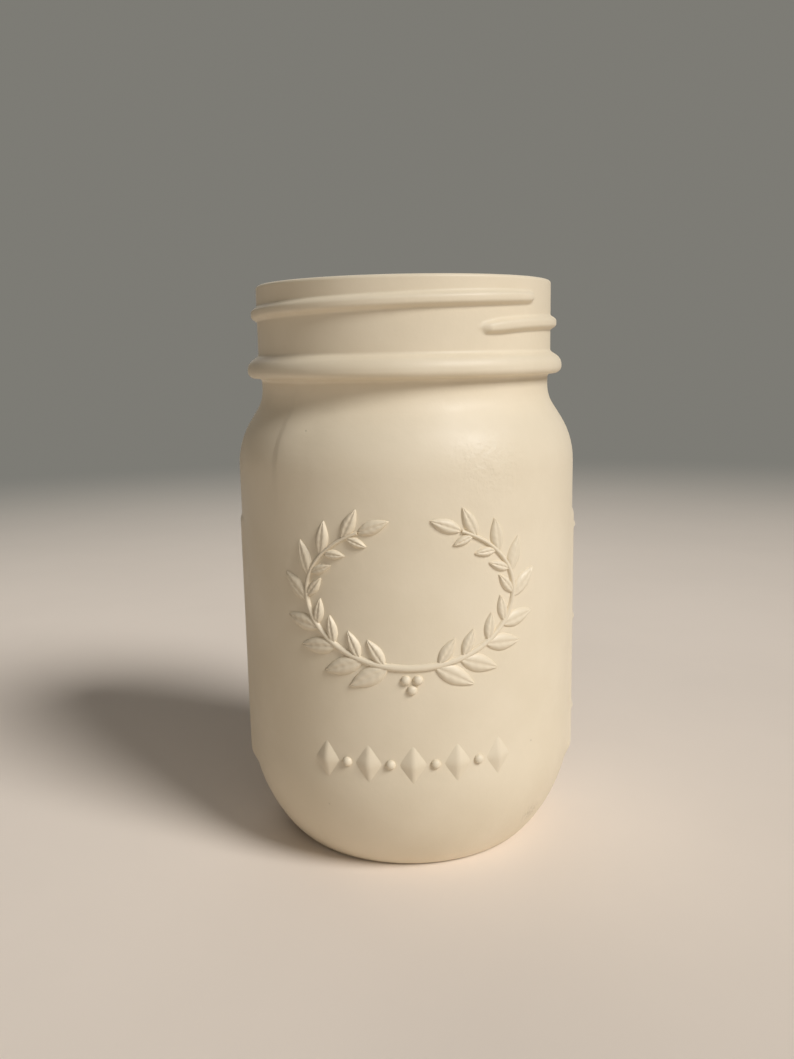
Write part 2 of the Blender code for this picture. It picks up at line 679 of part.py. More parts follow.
def build_switch(plastic, metal, parent):
    """The slider, with a ribbed knob through the plate, and the metal wiper that rides on it."""
    knob_width = SWITCH_SLOT_WIDTH - 2 * RUNNING_GAP
    knob_bottom = PLATE_LIFT + COVER_SHADOW_GAP
    slider = block(
        "switch_slider",
        (-SWITCH_FLANGE_WIDTH / 2, -SWITCH_FLANGE_LENGTH / 2, SWITCH_FLANGE_BOTTOM),
        (SWITCH_FLANGE_WIDTH / 2, SWITCH_FLANGE_LENGTH / 2, SWITCH_FLANGE_TOP),
        plastic,
        parent,
    )
    # The knob's underside is a row of ribs and grooves, drawn along Y.
    pitch = SWITCH_KNOB_LENGTH / (2 * SWITCH_RIB_COUNT - 1)
    side = [(-SWITCH_KNOB_LENGTH / 2, (SWITCH_FLANGE_BOTTOM + SWITCH_FLANGE_TOP) / 2)]
    for index in range(SWITCH_RIB_COUNT):
        start = -SWITCH_KNOB_LENGTH / 2 + 2 * index * pitch
        side += [(start, knob_bottom), (start + pitch, knob_bottom)]
        if index < SWITCH_RIB_COUNT - 1:
            side += [
                (start + pitch, knob_bottom + SWITCH_RIB_DEPTH),
                (start + 2 * pitch, knob_bottom + SWITCH_RIB_DEPTH),
            ]
    side.append((SWITCH_KNOB_LENGTH / 2, side[0][1]))
    knob = prism("switch_knob", side, knob_width, None, parent, upright=True)
    knob.rotation_euler.z = math.pi / 2
    boolean(slider, knob, "UNION")
    arch = WIPER_LENGTH / 2
    wiper = strip(
        "switch_wiper",
        [
            (-arch, WIPER_LEVEL),
            (-0.8 * arch, WIPER_LEVEL),
            (-0.6 * arch, WIPER_LEVEL + WIPER_RISE),
            (0.6 * arch, WIPER_LEVEL + WIPER_RISE),
            (0.8 * arch, WIPER_LEVEL),
            (arch, WIPER_LEVEL),
        ],
        CONTACT_THICKNESS,
        WIPER_WIDTH,
        metal,
        parent,
    )
    wiper.rotation_euler.z = math.pi / 2
    return slider


def joint_empty(name, location, parent=None):
    made = bpy.data.objects.new(name, None)
    bpy.context.scene.collection.objects.link(made)
    made.parent = parent
    made.location = location
    return made


def main():
    clear_scene()
    paint = material("cream_paint", (0.80, 0.74, 0.60), 0.42)
    wax_plastic = material("ivory_plastic", (0.86, 0.81, 0.68), 0.45)
    flame_plastic = material("flame_plastic", (0.93, 0.72, 0.36), 0.35)
    white_plastic = material("white_plastic", (0.80, 0.80, 0.78), 0.40)
    black_plastic = material("black_plastic", (0.03, 0.03, 0.03), 0.45)
    epoxy = material("clear_epoxy", (0.90, 0.86, 0.72), 0.12)
    tinned = material("tinned_wire", (0.70, 0.70, 0.70), 0.30, metallic=1.0)
    steel = material("cell_steel", (0.62, 0.62, 0.62), 0.25, metallic=1.0)
    bronze = material("contact_bronze", (0.70, 0.50, 0.26), 0.30, metallic=1.0)

    build_jar(paint)
    tealight = joint_empty("tealight_axis", (0.0, 0.0, TEALIGHT_LEVEL))
    build_shell(wax_plastic, tealight)
    build_flame(flame_plastic, tealight)
    build_led(epoxy, tealight)
    build_legs(tinned, tealight)
    build_base(white_plastic, tealight)
    build_cell(steel, tealight)
    build_contacts(bronze, tealight)
    build_cover(white_plastic, joint_empty("cover_axis", (0.0, 0.0, 0.0), tealight))
    # At rest the switch is off, at the front end of its slot.
    switch_place = (SWITCH_OFFSET, -SWITCH_TRAVEL / 2, 0.0)
    build_switch(black_plastic, bronze, joint_empty("switch_axis", switch_place, tealight))


main()
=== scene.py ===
"""Dresses the painted jar lantern: its glass and paint, its raised ornament and the tealight inside it.

Metres, +Z up, with the jar's front towards -Y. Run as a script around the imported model.
"""

import math

import bpy
import numpy as np
from bpy.props import FloatProperty, FloatVectorProperty, IntProperty, PointerProperty
from mathutils import Matrix, Vector
from mathutils.geometry import interpolate_bezier


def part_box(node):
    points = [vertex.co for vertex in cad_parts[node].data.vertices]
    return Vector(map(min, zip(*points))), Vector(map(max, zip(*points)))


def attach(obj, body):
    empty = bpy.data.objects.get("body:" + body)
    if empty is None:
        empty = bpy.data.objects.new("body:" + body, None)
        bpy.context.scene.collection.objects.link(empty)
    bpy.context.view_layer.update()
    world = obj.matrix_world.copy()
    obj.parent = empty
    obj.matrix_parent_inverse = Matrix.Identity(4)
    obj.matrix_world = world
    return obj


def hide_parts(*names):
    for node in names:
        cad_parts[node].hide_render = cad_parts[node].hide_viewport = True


bl_info = {
    "name": "Painted Jar Lantern",
    "version": (1, 0, 0),
    "blender": (4, 5, 0),
    "location": "View3D > Sidebar > Lantern",
    "description": "Models the looks of a painted jar with a battery tealight in it",
    "category": "Object",
}

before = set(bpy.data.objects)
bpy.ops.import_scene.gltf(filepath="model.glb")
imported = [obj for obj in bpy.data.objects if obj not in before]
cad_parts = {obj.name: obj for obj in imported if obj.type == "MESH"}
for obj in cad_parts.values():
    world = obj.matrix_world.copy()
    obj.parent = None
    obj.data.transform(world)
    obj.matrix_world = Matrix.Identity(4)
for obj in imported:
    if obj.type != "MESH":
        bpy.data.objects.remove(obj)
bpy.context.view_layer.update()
JAR_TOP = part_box("glass_jar")[1]
SHELL_LOW, SHELL_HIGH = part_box("candle_shell")
FLAME_LOW, FLAME_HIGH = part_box("flame_tip")

# Points closer than this are one point; the tips of leaves and stems close over a little more.
MERGE_REACH = 1e-6
TIP_MERGE_REACH = 2e-6
# Edges that turn more than this stay sharp, on turned and moulded pieces and on raised forms.
PIECE_SMOOTH = math.radians(40.0)
RELIEF_SMOOTH = math.radians(60.0)
# An arc in an outline takes at most this share of each of the two lines that it joins.
ARC_SHARE = 0.49


# Sizes and finishes

def length(name, description, default):
    """A size in metres that the sidebar shows with its unit."""
    return FloatProperty(name=name, description=description, default=default, unit="LENGTH", precision=4)


def angle(name, description, degrees):
    """An angle that is written in degrees here and kept in radians."""
    return FloatProperty(name=name, description=description, default=math.radians(degrees), subtype="ANGLE")


def colour(name, description, default):
    return FloatVectorProperty(
        name=name, description=description, default=default, subtype="COLOR", min=0.0, max=1.0
    )


def share(name, description, default):
    """A part of a whole, from 0 to 1."""
    return FloatProperty(
        name=name, description=description, default=default, min=0.0, max=1.0, subtype="FACTOR"
    )


def amount(name, description, default, unit="NONE"):
    """A plain number, or one with a unit of its own."""
    return FloatProperty(name=name, description=description, default=default, unit=unit)


def tally(name, description, default):
    """A count of things."""
    return IntProperty(name=name, description=description, default=default, min=1)


def spot(name, description, default):
    """A point in metres."""
    return FloatVectorProperty(
        name=name, description=description, default=default, unit="LENGTH", precision=4
    )


class JarSizes(bpy.types.PropertyGroup):
    """The jar's section. Heights of the shoulder, neck, bead and thread are measured down from the rim."""

    height: length("Height", "From the table to the rim", JAR_TOP.z)
    body_radius: length("Body radius", "Outside of the straight body", JAR_TOP.x)
    wall: length("Wall", "Thickness of the glass", 0.0028)
    floor_level: length("Floor level", "Height of the inside floor", 0.0058)
    punt_depth: length("Push-up", "Depth of the hollow underneath", 0.0016)
    foot_radius: length("Foot radius", "Outside of the ring that it stands on", 0.0290)
    foot_ring: length("Foot ring", "Width of the ring that it stands on", 0.0042)
    foot_round: length("Foot rounding", "Rounding of the foot's edge", 0.0015)
    heel_height: length("Heel height", "Height where the straight body starts", 0.0254)
    heel_angle: angle("Heel angle", "Rise of the heel where it leaves the foot", 35.0)
    heel_foot_pull: length("Heel foot pull", "How far the heel keeps that rise", 0.0037)
    heel_body_pull: length("Heel body pull", "How far the heel stays upright below the body", 0.0131)
    inner_heel_round: length("Inner heel", "Rounding between the inside wall and the floor", 0.0165)
    shoulder_drop: length("Shoulder drop", "Corner of the shoulder below the rim", 0.0353)
    shoulder_round: length("Shoulder rounding", "Rounding of the shoulder", 0.0308)
    neck_drop: length("Neck drop", "Corner of the neck below the rim", 0.0258)
    neck_radius: length("Neck radius", "Outside of the neck under the bead", 0.03345)
    neck_round: length("Neck rounding", "Hollow between shoulder and neck", 0.0095)
    bead_drop: length("Bead drop", "Underside of the bead below the rim", 0.0209)
    bead_radius: length("Bead radius", "Outside of the bead", 0.03665)
    bead_face: length("Bead face", "Height of the bead's outer face", 0.0032)
    bead_underside: length("Bead underside", "Rise of the bead's underside", 0.0003)
    bead_slope: length("Bead slope", "Rise of the bead's upper side", 0.0017)
    bead_round: length("Bead rounding", "Rounding of the bead's lower edge", 0.0016)
    bead_top_round: length("Bead top rounding", "Rounding of the bead's upper edge", 0.0028)
    bead_root: length("Bead root", "Paint-filled hollow above and below the bead", 0.0009)
    finish_radius: length("Finish radius", "Outside of the wall that carries the thread", 0.03405)
    mouth_radius: length("Mouth radius", "Inside of the mouth", 0.0306)
    lip_outside: length("Lip outside", "Rounding of the lip's outer edge", 0.0007)
    lip_inside: length("Lip inside", "Rounding of the lip's inner edge", 0.0012)
    thread_drop: length("Thread drop", "Upper end of the thread below the rim", 0.0044)
    thread_pitch: length("Thread pitch", "Fall of the thread in one turn", 0.0054)
    thread_height: length("Thread height", "How far the thread stands out", 0.00135)
    thread_half_width: length("Thread half width", "From the crest to the foot of the thread", 0.00178)
    thread_start: angle("Thread start", "Where the upper end lies, to the right of the front", 51.0)
    thread_sweep: angle("Thread sweep", "How far the thread runs round", 381.0)
    thread_run_in: angle("Thread run-in", "Length of the slight taper towards the upper end", 26.0)
    thread_run_out: angle("Thread run-out", "Length of the nose at the lower end", 7.0)
    thread_dip: length("Thread dip", "How far the lower end sags below the thread's line", 0.0007)
    thread_dip_run: angle("Thread dip run", "Length over which the lower end sags", 26.0)
    thread_end_share: share("Thread end", "Height left at the upper end", 0.88)
    thread_nose_share: share("Thread nose", "Height left at the lower end", 0.80)
    thread_roundness: amount("Thread roundness", "How full the thread's crest is", 1.8)
    thread_row: length("Thread row", "Height of a row of faces on the wall that carries the thread", 0.00020)
    steps: tally("Steps", "Faces round the jar", 256)


class ReliefSizes(bpy.types.PropertyGroup):
    """The raised forms: a wreath on the front, a row of lozenges below it, side panels and mould seams."""

    height: length("Relief height", "How far a leaf stands out", 0.00092)
    depth: length("Relief depth", "How far each raised form reaches into the glass", 0.0008)
    wreath_level: length("Wreath level", "Height of the wreath's centre", 0.0650)
    wreath_half_width: length("Wreath half width", "From the wreath's centre to its stem at the side", 0.0230)
    wreath_half_height: length("Wreath half height", "From the wreath's centre down to its stem", 0.0152)
    wreath_opening: angle("Wreath opening", "Where each stem ends, above the level line", 62.0)
    stem_start: angle("Stem start", "Where each stem starts, just past the middle of the foot", -101.0)
    stem_half_width: length("Stem half width", "Half the width of the wreath's stems", 0.0009)
    stem_taper: share("Stem taper", "How much a stem thins towards its tip", 0.5)
    stem_rise: share("Stem rise", "Height of a stem against a leaf's", 0.8)
    stem_edge: amount("Stem edge", "The lower it is, the steeper a stem rises at its sides", 0.6)
    leaf_pairs: tally("Leaf pairs", "Pairs of leaves on each stem", 8)
    first_pair: share("First pair", "Where the lowest leaves grow along a stem", 0.17)
    last_pair: share("Last pair", "Where the highest leaves grow along a stem", 0.93)
    leaf_shrink: share("Leaf shrink", "How much smaller the highest leaves are", 0.28)
    tip_leaf_size: share("Tip leaf size", "Size of the leaf at a stem's tip", 0.72)
    leaf_length: length("Leaf length", "From stalk to tip", 0.0100)
    leaf_half_width: length("Leaf half width", "From the midrib to the edge", 0.0022)
    leaf_belly: amount("Leaf belly", "The lower it is, the nearer to the stalk a leaf is widest", 0.85)
    leaf_fullness: amount("Leaf fullness", "The lower it is, the fuller a leaf's outline is", 0.9)
    leaf_end: amount("Leaf end", "The lower it is, the steeper a leaf rises at stalk and tip", 0.35)
    leaf_flank: amount("Leaf flank", "The higher it is, the flatter a leaf is across", 2.4)
    leaf_edge: amount("Leaf edge", "The lower it is, the steeper a leaf rises at its sides", 0.8)
    leaf_spread: angle("Leaf spread", "Turn of an outer leaf away from its stem", 36.0)
    inner_leaf_spread: angle("Inner leaf spread", "Turn of an inner leaf away from its stem", 50.0)
    inner_leaf_size: share("Inner leaf size", "Size of an inner leaf against an outer one", 0.68)
    leaf_veins: amount("Leaf veins", "Side veins along a leaf", 5.0)
    vein_height: share("Vein height", "Height of a side vein against the leaf's", 0.05)
    vein_slant: share("Vein slant", "How far the side veins lean towards the stalk", 0.9)
    midrib_depth: share("Midrib depth", "Depth of the midrib against the leaf's height", 0.28)
    midrib_width: share("Midrib width", "Width of the midrib against the leaf's", 0.2)
    edge_sink: share("Edge sink", "How far a form's edge lies below the paint, against its height", 0.1)
    berry_radius: length("Berry radius", "Radius of a berry or a dot", 0.0011)
    berry_gap: amount("Berry gap", "Half the distance between the two upper berries, in radii", 1.15)
    berry_drop: amount("Berry drop", "From the stems down to the two upper berries, in gaps", 2.0)
    last_berry_drop: amount("Last berry drop", "From the stems down to the lowest berry, in gaps", 3.7)
    row_level: length("Row level", "Height of the row of lozenges", 0.0285)
    row_pitch: length("Row pitch", "From one lozenge to the next", 0.0096)
    row_count: tally("Lozenges", "Lozenges in the row", 5)
    lozenge_rise: amount("Lozenge rise", "Height of a lozenge against a leaf's", 1.2)
    lozenge_half_width: length("Lozenge half width", "Half the width of a lozenge", 0.0030)
    lozenge_half_height: length("Lozenge half height", "Half the height of a lozenge", 0.0044)
    panel_angle: angle("Panel angle", "Where the middle of each side panel lies, from the front", 88.0)
    panel_low: length("Panel foot", "Height of the panels' lower end", 0.0167)
    panel_high: length("Panel top", "Height of the panels' upper end", 0.0781)
    panel_half_width: length("Panel half width", "Half the width of a side panel", 0.0118)
    panel_flank: length("Panel flank", "Width of the soft rise at a panel's sides", 0.0042)
    panel_foot_run: length("Panel foot run", "Length of the slope at a panel's lower end", 0.0040)
    panel_top_run: length("Panel top run", "Length of the slope at a panel's upper end", 0.0017)
    panel_height: length("Panel relief", "How far a side panel stands out", 0.00042)
    mark_low: length("Lowest mark", "Height of the lowest measuring mark", 0.0284)
    mark_pitch: length("Mark pitch", "From one measuring mark to the next", 0.0226)
    mark_count: tally("Marks", "Measuring marks on the right-hand panel", 3)
    mark_half_length: length("Mark half length", "Half the length of a measuring mark", 0.0050)
    mark_half_width: length("Mark half width", "Half the height of a measuring mark on the wall", 0.0014)
    mark_height: length("Mark relief", "How far a measuring mark stands out of its panel", 0.00042)
    seam_angle: angle("Seam angle", "Where one mould seam lies; the other is opposite", -46.0)
    seam_width: length("Seam width", "Width of a mould seam with its long right-hand slope", 0.0120)
    seam_step: length("Seam step", "Width of the steep left-hand side of a mould seam", 0.0026)
    seam_height: length("Seam height", "How far a mould seam stands out", 0.00023)
    seam_fall: length("Seam fall", "How far a mould seam runs down below the shoulder's corner", 0.022)
    seam_foot_fade: share("Seam foot fade", "Share of a mould seam over which it dies away downwards", 0.6)
    seam_top_fade: share("Seam top fade", "Share of a mould seam over which it dies away upwards", 0.15)
    sunk: length("Sunk edge", "How far the edge of a soft swelling lies below the paint", 0.00002)


class LanternFinish(bpy.types.PropertyGroup):
    """Colours, sheens and marks of the lantern's materials."""

    paint: colour("Paint", "Cream paint on the jar", (0.80, 0.705, 0.545))
    paint_shade: colour("Paint shade", "Cream paint where it lies thicker", (0.765, 0.67, 0.51))
    paint_pit: colour("Paint pit", "Dust and pinholes in the paint", (0.60, 0.52, 0.39))
    paint_roughness: share("Paint roughness", "Sheen of the paint", 0.45)
    paint_skin: length("Paint skin", "Depth of the dimples in the paint", 0.00005)
    wrinkle_place: spot("Wrinkle place", "Middle of the wrinkled patch", (0.0165, -0.0347, 0.0910))
    wrinkle_reach: length("Wrinkle reach", "Radius of the wrinkled patch", 0.0130)
    wrinkle_depth: amount("Wrinkle depth", "Depth of the wrinkles against the dimples", 1.7)
    scuff_place: spot("Scuff place", "Middle of the scuff above the foot", (0.0268, -0.0235, 0.0091))
    scuff_reach: length("Scuff reach", "Radius of the scuff", 0.0042)
    scuff_depth: amount("Scuff depth", "Depth of the scuff against the dimples", 3.0)
    scuff_stain: share("Scuff stain", "How far the scuff darkens the paint", 0.75)
    bare_glass: colour("Bare glass", "The paint seen through the glass from inside", (0.68, 0.66, 0.55))
    glass_roughness: share("Glass roughness", "Sheen of the bare glass", 0.07)
    glass_waves: length("Glass waves", "Depth of the waves in the bare glass", 0.00008)
    lip_paint: length("Lip paint", "How far the paint reaches down inside the lip", 0.0030)
    lip_paint_edge: length("Lip paint edge", "Width of that paint's soft edge", 0.0004)
    lip_paint_wander: length("Lip paint wander", "How far that paint's edge strays", 0.0022)
    wax: colour("Wax", "Tealight shell", (0.84, 0.78, 0.64))
    wax_shade: colour("Wax shade", "Tealight shell in its mottling", (0.815, 0.75, 0.605))
    flame_foot: colour("Flame foot", "Flame tip near the deck", (0.90, 0.80, 0.58))
    flame_point: colour("Flame point", "Flame tip near its point", (0.90, 0.52, 0.16))
    white_plastic: colour("White plastic", "Base plate and battery cover", (0.78, 0.78, 0.75))
    black_plastic: colour("Black plastic", "Switch slider", (0.030, 0.030, 0.032))
    bronze: colour("Bronze", "Contacts", (0.70, 0.50, 0.26))
    steel: colour("Steel", "Coin cell", (0.62, 0.62, 0.61))
    tin: colour("Tin", "Legs of the diode", (0.70, 0.70, 0.69))
    epoxy: colour("Epoxy", "Lens of the diode", (0.90, 0.86, 0.70))


class StageSetup(bpy.types.PropertyGroup):
    """Floor, light and the camera at the photograph's viewing angle."""

    floor_colour: colour("Floor colour", "Pale floor round the jar", (0.89, 0.79, 0.69))
    backdrop_colour: colour("Backdrop colour", "What the floor fades into further off", (0.205, 0.20, 0.178))
    floor_size: length("Floor size", "Length of the floor's sides", 8.0)
    floor_gap: length("Floor gap", "How far the floor lies below the foot ring", 0.0001)
    floor_near: length("Floor near", "Distance from the jar where the floor starts to fade", 0.14)
    floor_far: length("Floor far", "Distance from the jar where the floor has faded", 0.85)
    camera_place: spot("Camera place", "Where the camera stands", (-0.00248, -0.2338, 0.11455))
    camera_pitch: angle("Camera pitch", "How far the camera looks down", 10.29)
    camera_roll: angle("Camera roll", "How far the picture leans", 1.11)
    camera_frame: amount("Frame height", "Height of the camera's frame in mm", 36.0, unit="CAMERA")
    camera_lens: amount("Lens", "Focal length of the camera in mm", 33.15, unit="CAMERA")
    camera_near: length("Near limit", "What lies nearer to the camera isn't drawn", 0.005)
    key_strength: amount("Key", "Strength of the broad light from the upper right", 2.6)
    key_side: angle("Key side", "Where that light stands, to the right of the front", 51.0)
    key_height: angle("Key height", "How high that light stands", 40.0)
    key_softness: angle("Key softness", "How wide that light is", 22.0)
    key_tone: colour("Key tone", "White of that light", (1.0, 0.988, 0.975))
    fill_strength: amount("Fill", "Strength of the weak light from the front", 0.41)
    fill_side: angle("Fill side", "Where that light stands, to the right of the front", 6.0)
    fill_height: angle("Fill height", "How high that light stands", 30.0)
    back_strength: amount("Back", "Strength of the weak light from behind", 0.46)
    back_side: angle("Back side", "Where that light stands, to the right of the front", 189.0)
    back_height: angle("Back height", "How high that light stands", 30.0)
    weak_softness: angle("Weak softness", "How wide the two weak lights are", 50.0)
    weak_tone: colour("Weak tone", "Warm white of the two weak lights", (1.0, 0.95, 0.88))
    sky_strength: share("Sky", "Even light from all round", 0.01)
    sky_tone: colour("Sky tone", "White of the even light", (1.0, 0.98, 0.95))


# Modelling helpers

def deselect_all():
    if bpy.context.object is not None and bpy.context.object.mode != "OBJECT":
        bpy.ops.object.mode_set(mode="OBJECT")
    bpy.ops.object.select_all(action="DESELECT")


def pick(piece):
    """Makes one piece the only selected and active one."""
    deselect_all()
    piece.select_set(True)
    bpy.context.view_layer.objects.active = piece


def edit_all(piece):
    """Opens one piece in edit mode with all of it selected."""
    pick(piece)
    bpy.ops.object.mode_set(mode="EDIT")
    bpy.ops.mesh.select_all(action="SELECT")


def leave_edit():
    bpy.ops.object.mode_set(mode="OBJECT")


def new_object(name, data):
    """An object for a mesh, a lamp or a camera, linked to the scene."""
    made = bpy.data.objects.new(name, data)
    bpy.context.scene.collection.objects.link(made)
    return made


def coordinates(mesh):
    """A mesh's points as an array, one row each."""
    flat = np.empty(len(mesh.vertices) * 3, np.float32)
    mesh.vertices.foreach_get("co", flat)
    return flat.reshape(-1, 3).astype(float)


def set_coordinates(mesh, points):
    mesh.vertices.foreach_set("co", points.astype(np.float32).ravel())
    mesh.update()


def rounded_outline(corners, step=math.radians(5.0)):
    """Points along straight lines through (x, z, radius) corners, with an arc of that radius at each."""
    points = []
    for index, (x, z, radius) in enumerate(corners):
        corner = Vector((x, z))
        if radius == 0 or index in (0, len(corners) - 1):
            points.append(corner)
            continue
        back = Vector(corners[index - 1][:2]) - corner
        ahead = Vector(corners[index + 1][:2]) - corner
        half = back.angle(ahead) / 2
        reach = min(radius / math.tan(half), ARC_SHARE * back.length, ARC_SHARE * ahead.length)
        radius = reach * math.tan(half)
        centre = corner + (back.normalized() + ahead.normalized()).normalized() * radius / math.sin(half)
        first = corner + back.normalized() * reach - centre
        turn = math.pi - 2 * half
        if first.cross(corner + ahead.normalized() * reach - centre) < 0:
            turn = -turn
        count = max(2, math.ceil(abs(turn) / step))
        for number in range(count + 1):
            points.append(centre + Matrix.Rotation(turn * number / count, 2) @ first)
    return points


def spin_outline(name, outline, steps):
    """One vertex is pulled out point by point along a half section, which is then spun round the Z axis."""
    deselect_all()
    bpy.ops.mesh.primitive_plane_add(size=0.01, location=(0.0, 0.0, 0.0))
    piece = bpy.context.object
    piece.name = name
    edit_all(piece)
    bpy.ops.mesh.merge(type="CENTER")
    place = Vector((0.0, 0.0))
    for number, point in enumerate(outline):
        move = {"value": (point.x - place.x, 0.0, point.y - place.y)}
        if number == 0:
            bpy.ops.transform.translate(**move)
        else:
            bpy.ops.mesh.extrude_region_move(TRANSFORM_OT_translate=move)
        place = point
    bpy.ops.mesh.select_all(action="SELECT")
    bpy.ops.mesh.remove_doubles(threshold=MERGE_REACH)
    bpy.ops.mesh.spin(steps=steps, angle=math.tau, center=(0.0, 0.0, 0.0), axis=(0.0, 0.0, 1.0))
    bpy.ops.mesh.select_all(action="SELECT")
    bpy.ops.mesh.remove_doubles(threshold=MERGE_REACH)
    bpy.ops.mesh.normals_make_consistent(inside=False)
    leave_edit()
    return piece


def apply_modifier(piece, kind, **settings):
    """Adds one modifier with its settings and applies it."""
    pick(piece)
    modifier = piece.modifiers.new(kind.title(), kind)
    for setting, value in settings.items():
        setattr(modifier, setting, value)
    bpy.ops.object.modifier_apply(modifier=modifier.name)


def join(pieces, name):
    """Joins several pieces into the first one."""
    deselect_all()
    for piece in pieces:
        piece.select_set(True)
    bpy.context.view_layer.objects.active = pieces[0]
    bpy.ops.object.join()
    pieces[0].name = name
    return pieces[0]


def finish_piece(piece, name, body, materials, smooth=PIECE_SMOOTH):
    """Names a piece, gives it its materials and smooth shading, and parents it to an empty named after its
    body.
    """
    pick(piece)
    bpy.ops.object.transform_apply(location=True, rotation=True, scale=True)
    bpy.ops.object.shade_smooth_by_angle(angle=smooth)
    piece.name = name
    piece.data.name = name
    piece.data.materials.clear()
    for material in materials:
        piece.data.materials.append(material)
    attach(piece, body)
    return piece


# Node groups that the materials share

def new_group(name, inputs, outputs):
    """A shader node group with float or vector inputs and float outputs."""
    group = bpy.data.node_groups.new(name, "ShaderNodeTree")
    for label, kind, default in inputs:
        socket = group.interface.new_socket(label, in_out="INPUT", socket_type=kind)
        if default is not None:
            socket.default_value = default
    for label in outputs:
        group.interface.new_socket(label, in_out="OUTPUT", socket_type="NodeSocketFloat")
    return group, group.nodes.new("NodeGroupInput"), group.nodes.new("NodeGroupOutput")


def map_range(tree, low, high, to_low=0.0, to_high=1.0):
    """A node that turns values between two limits into a smooth rise between two others."""
    made = tree.nodes.new("ShaderNodeMapRange")
    made.interpolation_type = "SMOOTHSTEP"
    for label, value in (("From Min", low), ("From Max", high), ("To Min", to_low), ("To Max", to_high)):
        made.inputs[label].default_value = value
    return made


def math_node(tree, operation, first, second):
    """The result of one calculation on two values, each a plain number or another node's output."""
    made = tree.nodes.new("ShaderNodeMath")
    made.operation = operation
    for socket, value in zip(made.inputs, (first, second)):
        if isinstance(value, bpy.types.NodeSocket):
            tree.links.new(value, socket)
        else:
            socket.default_value = value
    return made.outputs[0]


def mottle_group():
    """Soft cloudy patches, from 0 to 1."""
    group, given, result = new_group(
        "soft_mottle",
        [("Vector", "NodeSocketVector", None), ("Scale", "NodeSocketFloat", 60.0)],
        ["Mask"],
    )
    noise = group.nodes.new("ShaderNodeTexNoise")
    noise.inputs["Detail"].default_value = 4.0
    noise.inputs["Roughness"].default_value = 0.55
    contrast = map_range(group, low=0.32, high=0.68)
    group.links.new(given.outputs["Vector"], noise.inputs["Vector"])
    group.links.new(given.outputs["Scale"], noise.inputs["Scale"])
    group.links.new(noise.outputs["Fac"], contrast.inputs["Value"])
    group.links.new(contrast.outputs["Result"], result.inputs["Mask"])
    return group


def grain_group():
    """The fine unevenness of a skin: broad dimples with a finer grain on them."""
    group, given, result = new_group(
        "skin_grain",
        [
            ("Vector", "NodeSocketVector", None),
            ("Dimple Scale", "NodeSocketFloat", 420.0),
            ("Grain Scale", "NodeSocketFloat", 2600.0),
            ("Grain Share", "NodeSocketFloat", 0.25),
        ],
        ["Height"],
    )
    dimples = group.nodes.new("ShaderNodeTexNoise")
    dimples.inputs["Detail"].default_value = 2.0
    grain = group.nodes.new("ShaderNodeTexNoise")
    grain.inputs["Detail"].default_value = 3.0
    for noise, label in ((dimples, "Dimple Scale"), (grain, "Grain Scale")):
        group.links.new(given.outputs["Vector"], noise.inputs["Vector"])
        group.links.new(given.outputs[label], noise.inputs["Scale"])
    weighed = math_node(group, "MULTIPLY", grain.outputs["Fac"], given.outputs["Grain Share"])
    height = math_node(group, "ADD", dimples.outputs["Fac"], weighed)
    group.links.new(height, result.inputs["Height"])
    return group


def speck_group():
    """Sparse round specks: dust nibs and pinholes in paint, pits in a moulding."""
    group, given, result = new_group(
        "sparse_specks",
        [
            ("Vector", "NodeSocketVector", None),
            ("Scale", "NodeSocketFloat", 350.0),
            ("Radius", "NodeSocketFloat", 0.12),
            ("Sparseness", "NodeSocketFloat", 0.9),
        ],
        ["Mask"],
    )
    cells = group.nodes.new("ShaderNodeTexVoronoi")
    group.links.new(given.outputs["Vector"], cells.inputs["Vector"])
    group.links.new(given.outputs["Scale"], cells.inputs["Scale"])
    speck = map_range(group, 0.0, 1.0, to_low=1.0, to_high=0.0)
    group.links.new(cells.outputs["Distance"], speck.inputs["Value"])
    group.links.new(given.outputs["Radius"], speck.inputs["From Max"])
    chance = group.nodes.new("ShaderNodeSeparateColor")
    group.links.new(cells.outputs["Color"], chance.inputs["Color"])
    kept = math_node(group, "GREATER_THAN", chance.outputs["Red"], given.outputs["Sparseness"])
    group.links.new(math_node(group, "MULTIPLY", speck.outputs["Result"], kept), result.inputs["Mask"])
    return group


def shared_group(name):
    """A node group, built the first time that a material asks for it."""
    makers = {"soft_mottle": mottle_group, "skin_grain": grain_group, "sparse_specks": speck_group}
    return bpy.data.node_groups.get(name) or makers[name]()


# Materials

